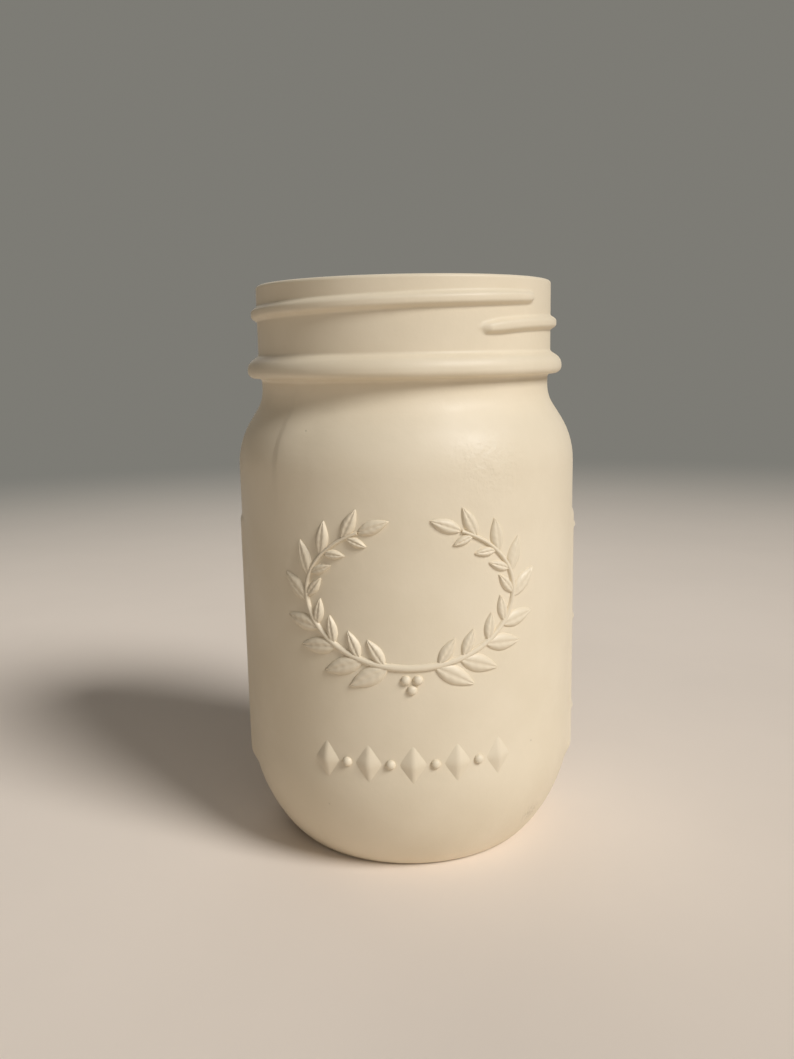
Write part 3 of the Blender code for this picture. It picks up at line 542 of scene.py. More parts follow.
class Shading:
    """A material in the making: its Principled shader, and the Object coordinates that its patterns read."""

    def __init__(self, name):
        self.material = bpy.data.materials.new(name)
        self.material.use_nodes = True
        self.tree = self.material.node_tree
        self.shader = self.tree.nodes["Principled BSDF"]
        self.place = self.tree.nodes.new("ShaderNodeTexCoord").outputs["Object"]

    def set(self, **values):
        """Constants on the shader's own sockets, with underscores for spaces in their names."""
        for label, value in values.items():
            self.shader.inputs[label.replace("_", " ")].default_value = value

    def calculate(self, operation, first, second):
        return math_node(self.tree, operation, first, second)

    def group(self, name, **values):
        """The output of a shared node group with its own values."""
        made = self.tree.nodes.new("ShaderNodeGroup")
        made.node_tree = shared_group(name)
        self.tree.links.new(self.place, made.inputs["Vector"])
        for label, value in values.items():
            made.inputs[label.replace("_", " ")].default_value = value
        return made.outputs[0]

    def mix(self, mask, first, second):
        """A colour between two colours, each a plain colour or another node's output."""
        made = self.tree.nodes.new("ShaderNodeMix")
        made.data_type = "RGBA"
        self.tree.links.new(mask, made.inputs["Factor"])
        for label, value in (("A", first), ("B", second)):
            socket = next(s for s in made.inputs if s.name == label and s.type == "RGBA")
            if isinstance(value, bpy.types.NodeSocket):
                self.tree.links.new(value, socket)
            else:
                socket.default_value = (*value, 1.0)
        return next(s for s in made.outputs if s.type == "RGBA")

    def spread(self, mask, low, high):
        """A value between low and high, by a mask."""
        return self.ramp(mask, 0.0, 1.0, low, high)

    def ramp(self, value, low, high, to_low=0.0, to_high=1.0):
        """A smooth rise from to_low to to_high, as another node's output goes from low to high."""
        made = map_range(self.tree, low, high, to_low, to_high)
        self.tree.links.new(value, made.inputs["Value"])
        return made.outputs["Result"]

    def height(self):
        """The height of each point of the surface."""
        split = self.tree.nodes.new("ShaderNodeSeparateXYZ")
        self.tree.links.new(self.place, split.inputs["Vector"])
        return split.outputs["Z"]

    def distance(self, point=(0.0, 0.0, 0.0)):
        """How far each point of the surface lies from a given point."""
        made = self.tree.nodes.new("ShaderNodeVectorMath")
        made.operation = "DISTANCE"
        self.tree.links.new(self.place, made.inputs[0])
        made.inputs[1].default_value = point
        return made.outputs["Value"]

    def near(self, point, reach):
        """1 at a point on the piece, falling to 0 at a distance."""
        return self.ramp(self.distance(point), 0.0, reach, to_low=1.0, to_high=0.0)

    def feed(self, label, output):
        self.tree.links.new(output, self.shader.inputs[label])

    def sheen(self, mask, roughness, smoother, rougher):
        """Lets the roughness vary a little to both sides of a value, by a mask."""
        self.feed("Roughness", self.spread(mask, roughness - smoother, roughness + rougher))

    def bump(self, height, depth):
        """Raises the surface by a height from 0 to 1, times a depth in metres."""
        made = self.tree.nodes.new("ShaderNodeBump")
        made.inputs["Distance"].default_value = depth
        self.tree.links.new(height, made.inputs["Height"])
        self.feed("Normal", made.outputs["Normal"])


def shaded(tone, brightness):
    """A colour with its brightness lowered."""
    return tuple(brightness * part for part in tone)


def paint_material(finish):
    """Satin cream paint: soft cloudy coats, a dimpled skin, a wrinkled patch, pinholes and a scuff."""
    found = bpy.data.materials.get("cream_paint")
    if found is not None:
        return found
    paint = Shading("cream_paint")
    clouds = paint.group("soft_mottle", Scale=55.0)
    pits = paint.group("sparse_specks", Scale=380.0, Radius=0.14, Sparseness=0.985)
    scratches = paint.group("soft_mottle", Scale=900.0)
    scuff = paint.calculate("MULTIPLY", paint.near(finish.scuff_place, finish.scuff_reach), scratches)
    coat = paint.mix(clouds, finish.paint, finish.paint_shade)
    pitted = paint.mix(pits, coat, finish.paint_pit)
    stain = paint.calculate("MULTIPLY", scuff, finish.scuff_stain)
    paint.feed("Base Color", paint.mix(stain, pitted, finish.paint_pit))
    paint.sheen(clouds, finish.paint_roughness, smoother=0.04, rougher=0.06)
    grain = paint.group("skin_grain", Dimple_Scale=380.0, Grain_Scale=2400.0, Grain_Share=0.22)
    folds = paint.group("soft_mottle", Scale=620.0)
    wrinkles = paint.calculate("MULTIPLY", paint.near(finish.wrinkle_place, finish.wrinkle_reach), folds)
    raised = paint.calculate("ADD", grain, paint.calculate("MULTIPLY", wrinkles, finish.wrinkle_depth))
    sunk = paint.calculate("ADD", pits, paint.calculate("MULTIPLY", scuff, finish.scuff_depth))
    paint.bump(paint.calculate("SUBTRACT", raised, sunk), finish.paint_skin)
    paint.set(IOR=1.44)
    return paint.material


def bare_glass_material(finish, sizes):
    """The inside: bare glossy glass with the paint behind it, and the paint's ragged edge inside the lip."""
    glass = Shading("bare_glass")
    wander = glass.spread(glass.group("soft_mottle", Scale=260.0), 0.0, finish.lip_paint_wander)
    edge = sizes.height - finish.lip_paint
    strayed = glass.calculate("ADD", glass.height(), wander)
    painted = glass.ramp(strayed, edge, edge + finish.lip_paint_edge)
    clouds = glass.group("soft_mottle", Scale=40.0)
    behind = glass.mix(clouds, finish.bare_glass, finish.paint_shade)
    glass.feed("Base Color", glass.mix(painted, behind, finish.paint))
    glass.feed("Roughness", glass.spread(painted, finish.glass_roughness, finish.paint_roughness))
    waves = glass.group("skin_grain", Dimple_Scale=90.0, Grain_Scale=400.0, Grain_Share=0.1)
    glass.bump(waves, finish.glass_waves)
    glass.set(IOR=1.52)
    return glass.material


def moulded_material(name, tone, roughness, depth):
    """Plain moulded plastic: a fine grain and faint clouding."""
    plastic = Shading(name)
    clouds = plastic.group("soft_mottle", Scale=180.0)
    plastic.feed("Base Color", plastic.mix(clouds, tone, shaded(tone, brightness=0.95)))
    plastic.sheen(clouds, roughness, smoother=0.05, rougher=0.08)
    plastic.bump(plastic.group("skin_grain", Dimple_Scale=1500.0, Grain_Scale=6000.0, Grain_Share=0.5), depth)
    return plastic.material


def metal_material(name, tone, roughness):
    """Bright sheet or wire with faint handling marks."""
    metal = Shading(name)
    clouds = metal.group("soft_mottle", Scale=600.0)
    metal.feed("Base Color", metal.mix(clouds, tone, shaded(tone, brightness=0.8)))
    metal.sheen(clouds, roughness, smoother=0.06, rougher=0.12)
    metal.bump(metal.group("skin_grain", Dimple_Scale=2500.0, Grain_Scale=9000.0), depth=0.000006)
    metal.set(Metallic=1.0)
    return metal.material


def wax_material(finish):
    """Wax-like shell: warm, slightly cloudy and soft at its edges."""
    wax = Shading("ivory_wax")
    clouds = wax.group("soft_mottle", Scale=130.0)
    pits = wax.group("sparse_specks", Scale=600.0, Radius=0.2, Sparseness=0.95)
    coat = wax.mix(clouds, finish.wax, finish.wax_shade)
    wax.feed("Base Color", wax.mix(pits, coat, finish.wax_shade))
    wax.feed("Roughness", wax.spread(clouds, low=0.36, high=0.50))
    wax.bump(wax.group("skin_grain", Dimple_Scale=500.0, Grain_Scale=3000.0), depth=0.00004)
    wax.set(Subsurface_Weight=0.25, Subsurface_Scale=0.002)
    return wax.material


def flame_material(finish):
    """Amber flame tip, paler at its foot."""
    flame = Shading("flame_amber")
    pale_share = 0.2
    pale_up_to = FLAME_LOW.z + pale_share * (FLAME_HIGH.z - FLAME_LOW.z)
    rise = flame.ramp(flame.height(), pale_up_to, FLAME_HIGH.z)
    clouds = flame.group("soft_mottle", Scale=300.0)
    paler = flame.mix(clouds, finish.flame_foot, finish.wax)
    flame.feed("Base Color", flame.mix(rise, paler, finish.flame_point))
    flame.feed("Roughness", flame.spread(clouds, low=0.24, high=0.36))
    flame.bump(flame.group("skin_grain", Dimple_Scale=350.0, Grain_Scale=2500.0), depth=0.00005)
    flame.set(Subsurface_Weight=0.35, Subsurface_Scale=0.003)
    return flame.material


def lens_material(finish):
    """Clear warm lens of the diode, a little uneven in tone and gloss."""
    lens = Shading("clear_lens")
    lens.feed("Base Color", lens.mix(lens.group("soft_mottle", Scale=400.0), finish.epoxy, finish.wax))
    lens.feed("Roughness", lens.spread(lens.group("soft_mottle", Scale=900.0), low=0.06, high=0.14))
    return lens.material


# The jar

def heel_curve(sizes, spans=28):
    """Points of the heel, from the foot ring up to the straight body."""
    foot = Vector((sizes.foot_radius, 0.0))
    body = Vector((sizes.body_radius, sizes.heel_height))
    rise = Vector((math.cos(sizes.heel_angle), math.sin(sizes.heel_angle)))
    foot_handle = foot + sizes.heel_foot_pull * rise
    body_handle = body - Vector((0.0, sizes.heel_body_pull))
    return interpolate_bezier(foot, foot_handle, body_handle, body, spans + 1)


def jar_outline(sizes):
    """Half the jar's section: underside, outside, lip, inside and floor, from axis to axis."""
    rim = sizes.height
    inside = sizes.body_radius - sizes.wall
    slope = math.atan2(sizes.body_radius - sizes.neck_radius, sizes.shoulder_drop - sizes.neck_drop)
    # The inside of the shoulder lies one wall behind the outside, so its corners sit a little lower.
    inner_drop = sizes.wall * math.tan(slope / 2)
    ring_inside = sizes.foot_radius - sizes.foot_ring
    bead_low = rim - sizes.bead_drop
    face_low = bead_low + sizes.bead_underside
    face_high = face_low + sizes.bead_face
    # The rounding of the foot's edge takes the place of the heel's first two points.
    heel = [(point.x, point.y, 0.0) for point in heel_curve(sizes)[2:]]
    return rounded_outline([
        (0.0, sizes.punt_depth, 0.0),
        (ring_inside - sizes.punt_depth, sizes.punt_depth, sizes.punt_depth),
        (ring_inside, 0.0, 0.0),
        (sizes.foot_radius, 0.0, sizes.foot_round),
        *heel,
        (sizes.body_radius, rim - sizes.shoulder_drop, sizes.shoulder_round),
        (sizes.neck_radius, rim - sizes.neck_drop, sizes.neck_round),
        (sizes.neck_radius, bead_low, sizes.bead_root),
        (sizes.bead_radius, face_low, sizes.bead_round),
        (sizes.bead_radius, face_high, sizes.bead_top_round),
        (sizes.finish_radius, face_high + sizes.bead_slope, sizes.bead_root),
        (sizes.finish_radius, rim, sizes.lip_outside),
        (sizes.mouth_radius, rim, sizes.lip_inside),
        (sizes.mouth_radius, rim - sizes.neck_drop - inner_drop, sizes.neck_round + sizes.wall),
        (inside, rim - sizes.shoulder_drop - inner_drop, sizes.shoulder_round - sizes.wall),
        (inside, sizes.floor_level, sizes.inner_heel_round),
        (0.0, sizes.floor_level, 0.0),
    ])


def wall_offset(sizes, level):
    """How far the outside below the bead stands out from the straight body at each level: 0 or less."""
    foot_edge = sizes.foot_radius - sizes.foot_round
    bead_low = sizes.height - sizes.bead_drop
    rising = [point for point in jar_outline(sizes) if point.x >= foot_edge and point.y <= bead_low]
    heights = [point.y for point in rising]
    upper = heights.index(max(heights)) + 1
    radii = [point.x for point in rising[:upper]]
    return np.interp(level, heights[:upper], radii) - sizes.body_radius


def with_rows(outline, sizes):
    """The outline with extra points on the thread's wall, so that the thread has faces to rise from."""
    least_radius = sizes.finish_radius - 1e-5
    least_height = 0.8 * sizes.height
    made = [outline[0]]
    for before, after in zip(outline, outline[1:]):
        count = 1
        if min(before.x, after.x) > least_radius and min(before.y, after.y) > least_height:
            count = max(1, math.ceil((after - before).length / sizes.thread_row))
        made += [before.lerp(after, number / count) for number in range(1, count + 1)]
    return made


def raise_thread(piece, sizes):
    """Lifts the right-hand thread out of the wall of the finish."""
    points = coordinates(piece.data)
    radius = np.hypot(points[:, 0], points[:, 1])
    round_front = np.arctan2(points[:, 0], -points[:, 1])
    top = sizes.height - sizes.thread_drop
    lift = np.zeros(len(points))
    # Each point is tried on every turn of the thread that could pass it.
    for turn in range(-1, 3):
        # Swept angle from the upper end, counted clockwise seen from above.
        swept = sizes.thread_start - round_front + turn * math.tau
        along = np.clip(swept, 0.0, sizes.thread_sweep)
        past_end = (swept - along) * sizes.finish_radius
        to_end = sizes.thread_sweep - along
        run_in = np.sin(np.clip(along / sizes.thread_run_in, 0.0, 1.0) * math.pi / 2)
        run_out = np.sin(np.clip(to_end / sizes.thread_run_out, 0.0, 1.0) * math.pi / 2)
        sag = (1.0 - np.clip(to_end / sizes.thread_dip_run, 0.0, 1.0)) ** 2
        crest = top - sizes.thread_pitch * along / math.tau - sizes.thread_dip * sag
        across = points[:, 2] - crest
        taper = sizes.thread_end_share + (1.0 - sizes.thread_end_share) * run_in
        nose = sizes.thread_nose_share + (1.0 - sizes.thread_nose_share) * run_out
        reach = np.hypot(across, past_end) / (sizes.thread_half_width * taper * nose)
        ridge = 0.5 + 0.5 * np.cos(math.pi * np.clip(reach, 0.0, 1.0) ** sizes.thread_roundness)
        lift = np.maximum(lift, ridge * taper * nose)
    least_radius = sizes.finish_radius - 5e-5
    on_wall = (radius > least_radius) & (points[:, 2] > sizes.height - sizes.bead_drop)
    grown = 1.0 + sizes.thread_height * lift[on_wall] / radius[on_wall]
    points[on_wall, :2] *= grown[:, None]
    set_coordinates(piece.data, points)


def mark_inside(piece, sizes):
    """Gives the faces of the inside wall and floor the second material."""
    turned_in = -0.1
    turned_up = 0.5
    for face in piece.data.polygons:
        outward = Vector((face.center.x, face.center.y, 0.0)).normalized()
        facing_axis = face.normal.dot(outward) < turned_in
        on_floor = face.normal.z > turned_up and face.center.z < sizes.height / 2
        if facing_axis or on_floor:
            face.material_index = 1


class LANTERN_OT_jar(bpy.types.Operator):
    """Turn the jar's section, raise its screw thread and paint it"""

    bl_idname = "lantern.jar"
    bl_label = "Painted Jar"

    def execute(self, context):
        sizes = context.scene.jar_sizes
        finish = context.scene.lantern_finish
        jar = spin_outline("painted_jar", with_rows(jar_outline(sizes), sizes), sizes.steps)
        raise_thread(jar, sizes)
        finish_piece(
            jar,
            "painted_jar",
            "jar",
            [paint_material(finish), bare_glass_material(finish, sizes)],
        )
        mark_inside(jar, sizes)
        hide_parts("glass_jar")
        return {"FINISHED"}


# Raised forms on the jar

def bend_on_jar(piece, sizes):
    """Stands a flat drawing up and bends it round the body: X runs round the wall, Y up and Z outwards."""
    edit_all(piece)
    bpy.ops.transform.rotate(
        value=-math.pi / 2, orient_axis="X", orient_type="GLOBAL", center_override=(0.0, 0.0, 0.0)
    )
    leave_edit()
    across = coordinates(piece.data)[:, 0]
    apply_modifier(
        piece,
        "SIMPLE_DEFORM",
        deform_method="BEND",
        deform_axis="Z",
        angle=(across.max() - across.min()) / sizes.body_radius,
    )
    edit_all(piece)
    bpy.ops.transform.translate(value=(0.0, -sizes.body_radius, 0.0))
    leave_edit()
    return piece


def raised_patch(name, shape, depth, columns, rows):
    """A grid with a closed back, shaped by a function of two shares: 0 to 1 along it and -1 to 1 across."""
    deselect_all()
    bpy.ops.mesh.primitive_grid_add(x_subdivisions=columns, y_subdivisions=rows, size=2.0)
    piece = bpy.context.object
    piece.name = name
    points = coordinates(piece.data)
    shaped = np.column_stack(shape((points[:, 0] + 1.0) / 2.0, points[:, 1]))
    set_coordinates(piece.data, shaped)
    edit_all(piece)
    bpy.ops.mesh.remove_doubles(threshold=TIP_MERGE_REACH)
    bpy.ops.mesh.extrude_region_move(TRANSFORM_OT_translate={"value": (0.0, 0.0, -depth)})
    bpy.ops.mesh.select_all(action="SELECT")
    bpy.ops.mesh.normals_make_consistent(inside=False)
    leave_edit()
    return piece


def leaf_form(relief):
    """One leaf lying along X from its stalk at the origin, with a midrib and faint side veins."""

    def shape(along, across):
        half = relief.leaf_half_width * np.sin(math.pi * along**relief.leaf_belly) ** relief.leaf_fullness
        ends = np.sin(math.pi * along) ** relief.leaf_end
        crown = (1.0 - np.abs(across) ** relief.leaf_flank) ** relief.leaf_edge
        waves = np.cos(math.tau * (relief.leaf_veins * along - relief.vein_slant * np.abs(across)))
        veins = relief.vein_height * waves * (1.0 - across**2)
        midrib = relief.midrib_depth * np.exp(-((across / relief.midrib_width) ** 2))
        height = relief.height * ((crown + veins - midrib) * ends - relief.edge_sink)
        return relief.leaf_length * along, half * across, height

    return raised_patch("leaf", shape, relief.depth, columns=22, rows=12)


def stem_points(relief, count=60, samples=400):
    """Evenly spaced points and directions along the right-hand stem, from its foot to its tip."""
    turn = np.linspace(relief.stem_start, relief.wreath_opening, samples)
    x = relief.wreath_half_width * np.cos(turn)
    y = relief.wreath_level + relief.wreath_half_height * np.sin(turn)
    run = np.concatenate([[0.0], np.cumsum(np.hypot(np.diff(x), np.diff(y)))])
    even = np.linspace(0.0, run[-1], count)
    x = np.interp(even, run, x)
    y = np.interp(even, run, y)
    return x, y, np.unwrap(np.arctan2(np.gradient(y), np.gradient(x)))


def stem_form(relief):
    """The right-hand stem: a rounded ridge that thins towards its tip."""
    x, y, heading = stem_points(relief)
    numbers = np.arange(len(x))
    spans = len(x) - 1

    def shape(along, across):
        place = along * spans
        turn = np.interp(place, numbers, heading)
        half = relief.stem_half_width * (1.0 - relief.stem_taper * along) * across
        round_out = np.interp(place, numbers, x) - half * np.sin(turn)
        up = np.interp(place, numbers, y) + half * np.cos(turn)
        height = relief.height * (relief.stem_rise * (1.0 - across**2) ** relief.stem_edge - relief.edge_sink)
        return round_out, up, height

    return raised_patch("stem", shape, relief.depth, columns=spans, rows=6)


def placed_copy(master, x, y, turn=0.0, size=1.0):
    """A copy of a flat form with its own mesh, turned, sized and moved on the flat."""
    made = new_object(master.name, master.data.copy())
    sized = Matrix.Diagonal((size, size, 1.0, 1.0))
    made.data.transform(Matrix.Translation((x, y, 0.0)) @ Matrix.Rotation(turn, 4, "Z") @ sized)
    return made


def mirrored_copy(master):
    """The left-hand twin of a flat form, with its faces turned the right way out again."""
    made = new_object(master.name, master.data.copy())
    made.data.transform(Matrix.Diagonal((-1.0, 1.0, 1.0, 1.0)))
    made.data.flip_normals()
    return made


def dome_form(radius, height):
    """A low round dome for berries and dots, half sunk in the wall."""
    deselect_all()
    bpy.ops.mesh.primitive_uv_sphere_add(segments=16, ring_count=10, radius=1.0)
    dome = bpy.context.object
    dome.name = "dome"
    dome.data.transform(Matrix.Diagonal((radius, radius, height, 1.0)))
    return dome


def lozenge_form(relief):
    """A four-sided pyramid with softened edges, half sunk in the wall."""
    deselect_all()
    bpy.ops.mesh.primitive_cone_add(vertices=4, radius1=1.0, radius2=0.0, depth=1.0, location=(0.0, 0.0, 0.0))
    lozenge = bpy.context.object
    lozenge.name = "lozenge"
    high = relief.lozenge_rise * relief.height
    full = high + relief.depth
    widen = full / high
    lozenge.data.transform(
        Matrix.Translation((0.0, 0.0, full / 2 - relief.depth))
        @ Matrix.Diagonal((relief.lozenge_half_width * widen, relief.lozenge_half_height * widen, full, 1.0))
    )
    apply_modifier(lozenge, "SUBSURF", subdivision_type="SIMPLE", levels=3, render_levels=3)
    apply_modifier(lozenge, "SMOOTH", factor=0.5, iterations=3)
    return lozenge


def wreath_half(relief, leaf):
    """The right-hand sprig: its stem, pairs of leaves that shrink along it, and one leaf at the tip."""
    x, y, heading = stem_points(relief)
    forms = [stem_form(relief)]
    places = np.linspace(relief.first_pair, relief.last_pair, relief.leaf_pairs) * (len(x) - 1)
    shrinking = np.linspace(1.0, 1.0 - relief.leaf_shrink, relief.leaf_pairs)
    for place, size in zip(places.round().astype(int), shrinking):
        outward = heading[place] - relief.leaf_spread
        inward = heading[place] + relief.inner_leaf_spread
        forms.append(placed_copy(leaf, x[place], y[place], outward, size))
        forms.append(placed_copy(leaf, x[place + 1], y[place + 1], inward, size * relief.inner_leaf_size))
    forms.append(placed_copy(leaf, x[-1], y[-1], heading[-1], relief.tip_leaf_size))
    return forms


def berry_cluster(relief, dome):
    """Three berries that hang where the stems cross, two side by side and one below."""
    foot = relief.wreath_level - relief.wreath_half_height
    gap = relief.berry_gap * relief.berry_radius
    upper = foot - relief.berry_drop * gap
    lowest = foot - relief.last_berry_drop * gap
    return [placed_copy(dome, *place) for place in ((-gap, upper), (gap, upper), (0.0, lowest))]


def lozenge_row(relief, lozenge, dome):
    """Lozenges in a row with a dot between each two."""
    row = []
    middle = (relief.row_count - 1) / 2
    for number in range(relief.row_count):
        along = (number - middle) * relief.row_pitch
        row.append(placed_copy(lozenge, along, relief.row_level))
        if number < relief.row_count - 1:
            row.append(placed_copy(dome, along + relief.row_pitch / 2, relief.row_level))
    return row


class LANTERN_OT_front_relief(bpy.types.Operator):
    """Raise a wreath of leaves on the front of the jar and a row of lozenges below it"""

    bl_idname = "lantern.front_relief"
    bl_label = "Front Ornament"

    def execute(self, context):
        relief = context.scene.relief_sizes
        leaf = leaf_form(relief)
        dome = dome_form(relief.berry_radius, relief.height)
        lozenge = lozenge_form(relief)
        forms = wreath_half(relief, leaf)
        forms += [mirrored_copy(form) for form in forms]
        forms += berry_cluster(relief, dome)
        forms += lozenge_row(relief, lozenge, dome)
        for master in (leaf, dome, lozenge):
            bpy.data.objects.remove(master)
        ornament = bend_on_jar(join(forms, "front_ornament"), context.scene.jar_sizes)
        finish_piece(
            ornament,
            "front_ornament",
            "jar",
            [paint_material(context.scene.lantern_finish)],
            smooth=RELIEF_SMOOTH,
        )
        return {"FINISHED"}


def soft_step(value):
    """0 up to 0, 1 from 1 onwards, and a smooth rise between them."""
    value = np.clip(value, 0.0, 1.0)
    return value * value * (3.0 - 2.0 * value)


def mark_swelling(relief, sideways, level):
    """How far the measuring marks, rounded bars one above the other, stand out of their panel."""
    swelling = np.zeros(len(level))
    straight = relief.mark_half_length - relief.mark_half_width
    for number in range(relief.mark_count):
        up = level - relief.mark_low - number * relief.mark_pitch
        past_end = np.clip(np.abs(sideways) - straight, 0.0, None)
        reach = np.hypot(up, past_end) / relief.mark_half_width
        swelling += relief.mark_height * soft_step(1.0 - reach)
    return swelling


def side_panel(relief, sizes, side, marked):
    """A straight panel that swells out of one side of the body, with or without its measuring marks."""

    def shape(along, across):
        level = relief.panel_low + (relief.panel_high - relief.panel_low) * along
        sideways = relief.panel_half_width * across
        wall = wall_offset(sizes, level)
        flanks = soft_step((relief.panel_half_width - np.abs(sideways)) / relief.panel_flank)
        foot = soft_step((level - relief.panel_low) / relief.panel_foot_run)
        top = soft_step((relief.panel_high - level) / relief.panel_top_run)
        height = wall + (relief.panel_height - wall) * flanks * foot * top
        if marked:
            height += mark_swelling(relief, sideways, level)
        return sideways, level, height - relief.sunk

    panel = bend_on_jar(raised_patch("side_panel", shape, relief.depth, columns=200, rows=40), sizes)
    panel.data.transform(Matrix.Rotation(side * relief.panel_angle, 4, "Z"))
    return panel


class LANTERN_OT_side_panels(bpy.types.Operator):
    """Raise a straight panel on each side of the jar, with measuring marks on the right-hand one"""

    bl_idname = "lantern.side_panels"
    bl_label = "Side Panels"

    def execute(self, context):
        sizes = context.scene.jar_sizes
        relief = context.scene.relief_sizes
        paint = paint_material(context.scene.lantern_finish)
        for name, side, marked in (("marked_panel", 1.0, True), ("plain_panel", -1.0, False)):
            panel = side_panel(relief, sizes, side, marked)
            finish_piece(panel, name, "jar", [paint], smooth=RELIEF_SMOOTH)
        return {"FINISHED"}


def mould_seam(relief, sizes, turn):
    """A soft step on the shoulder: steep on its left, running out slowly on its right and downwards."""
    low = sizes.height - sizes.shoulder_drop - relief.seam_fall
    high = sizes.height - sizes.bead_drop

    def shape(along, across):
        level = low + (high - low) * along
        sideways = relief.seam_width * (across + 1.0) / 2.0
        step = soft_step(sideways / relief.seam_step)
        slope = soft_step((relief.seam_width - sideways) / (relief.seam_width - relief.seam_step))
        fade = soft_step(along / relief.seam_foot_fade) * soft_step((1.0 - along) / relief.seam_top_fade)
        wall = wall_offset(sizes, level)
        height = wall + relief.seam_height * step * slope * fade
        return sideways - relief.seam_step / 2.0, level, height - relief.sunk

    seam = bend_on_jar(raised_patch("mould_seam", shape, relief.depth, columns=80, rows=48), sizes)
    seam.data.transform(Matrix.Rotation(turn, 4, "Z"))
    return seam


class LANTERN_OT_mould_seams(bpy.types.Operator):
    """Lay the two faint seams that the mould leaves on the shoulder"""

    bl_idname = "lantern.mould_seams"
    bl_label = "Mould Seams"

    def execute(self, context):
        sizes = context.scene.jar_sizes
        relief = context.scene.relief_sizes
        turns = (relief.seam_angle, relief.seam_angle + math.pi)
        seams = join([mould_seam(relief, sizes, turn) for turn in turns], "mould_seams")
        paint = paint_material(context.scene.lantern_finish)
        finish_piece(seams, "mould_seams", "jar", [paint], smooth=RELIEF_SMOOTH)
        return {"FINISHED"}


# The tealight

class LANTERN_OT_candle_shell(bpy.types.Operator):
    """Turn the wax-like shell of the tealight"""

    bl_idname = "lantern.candle_shell"
    bl_label = "Tealight Shell"

    wall: length("Wall", "Thickness of the shell", 0.0013)
    rim_width: length("Rim width", "Width of the shell's top edge", 0.0017)
    rim_round: length("Rim rounding", "Rounding of the top edge", 0.0008)
    deck_dip: length("Deck dip", "Depth of the dished top", 0.0019)
    deck_thickness: length("Deck thickness", "Thickness of the top at the flame", 0.0014)
    deck_land: length("Deck land", "Flat round the flame", 0.0022)
    hole_radius: length("Hole radius", "Hole for the flame", 0.0050)
    edge_round: length("Edge rounding", "Rounding of the lower edge, the groove and the hole", 0.00025)
    groove_level: length("Groove level", "Height of the groove above the lower edge", 0.0020)
    steps: tally("Steps", "Faces round the shell", 128)

    def execute(self, context):
        radius, bottom, top = SHELL_HIGH.x, SHELL_LOW.z, SHELL_HIGH.z
        bore = radius - self.wall
        deck = top - self.deck_dip
        under = deck - self.deck_thickness
        soft = self.edge_round
        groove = bottom + self.groove_level
        outline = rounded_outline([
            (bore, bottom, 0.0),
            (radius - soft, bottom, 0.0),
            (radius, bottom + soft, 0.0),
            (radius, groove, soft),
            (radius - soft, groove + soft, soft),
            (radius, groove + 2 * soft, soft),
            (radius, top, self.rim_round),
            (radius - self.rim_width, top, self.rim_round),
            (self.hole_radius + self.deck_land, deck, self.deck_land),
            (self.hole_radius, deck, soft),
            (self.hole_radius, under, 0.0),
            (bore, under, 0.0),
            (bore, bottom, 0.0),
        ])
        shell = spin_outline("wax_shell", outline, self.steps)
        wax = wax_material(context.scene.lantern_finish)
        finish_piece(shell, "wax_shell", "tealight", [wax])
        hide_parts("candle_shell")
        return {"FINISHED"}


class LANTERN_OT_flame(bpy.types.Operator):
    """Turn the flame-shaped tip and lean its point a little"""

    bl_idname = "lantern.flame"
    bl_label = "Flame Tip"

    flange_width: length("Flange width", "How far the flange reaches out under the deck", 0.0019)
    flange_thickness: length("Flange thickness", "Thickness of the flange", 0.0012)
    wall: length("Wall", "Thickness of the tip round the diode", 0.0013)
    lean: length("Lean", "How far the point leans over", 0.0011)
    cavity_height: length("Cavity height", "Room for the diode above the flange's underside", 0.0070)
    flame_length: length("Flame length", "From the deck to the point", 0.0185)
    swell: amount("Swell", "How much the flame swells above its foot", 2.2)
    slimness: amount("Slimness", "How slim the flame's point is", 1.1)
    rows: tally("Rows", "Rings of faces up the flame", 40)
    steps: tally("Steps", "Faces round the flame", 64)

    def execute(self, context):
        flange = FLAME_HIGH.x
        radius = flange - self.flange_width
        bottom, top = FLAME_LOW.z, FLAME_HIGH.z
        deck = top - self.flame_length
        cavity = radius - self.wall
        roof = bottom + self.cavity_height
        flange_top = bottom + self.flange_thickness
        outline = [
            Vector((0.0, roof)),
            Vector((cavity / 2, roof)),
            Vector((cavity, roof - cavity / 2)),
            Vector((cavity, bottom)),
            Vector((flange, bottom)),
            Vector((flange, flange_top)),
            Vector((radius, flange_top)),
        ]
        rise = np.sin(np.linspace(0.0, math.pi / 2, self.rows + 1))
        girth = (1.0 - rise) ** self.slimness * (1.0 + self.swell * rise)
        for up, out in zip(rise, girth / girth.max()):
            outline.append(Vector((radius * out, deck + self.flame_length * up)))
        flame = spin_outline("amber_flame", outline, self.steps)
        points = coordinates(flame.data)
        above = np.clip((points[:, 2] - deck) / self.flame_length, 0.0, 1.0)
        points[:, 0] += self.lean * above**2
        set_coordinates(flame.data, points)
        amber = flame_material(context.scene.lantern_finish)
        finish_piece(flame, "amber_flame", "tealight", [amber])
        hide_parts("flame_tip")
        return {"FINISHED"}


def softened_copy(node, bevel):
    """A copy of a CAD node with its flat faces made whole and its edges rounded."""
    piece = new_object(node + "_part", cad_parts[node].data.copy())
    piece.data.materials.clear()
    edit_all(piece)
    bpy.ops.mesh.remove_doubles(threshold=MERGE_REACH)
    bpy.ops.mesh.dissolve_limited(angle_limit=math.radians(1.0))
    leave_edit()
    apply_modifier(
        piece, "BEVEL", width=bevel, segments=2, limit_method="ANGLE", angle_limit=math.radians(50.0)
    )
    return piece


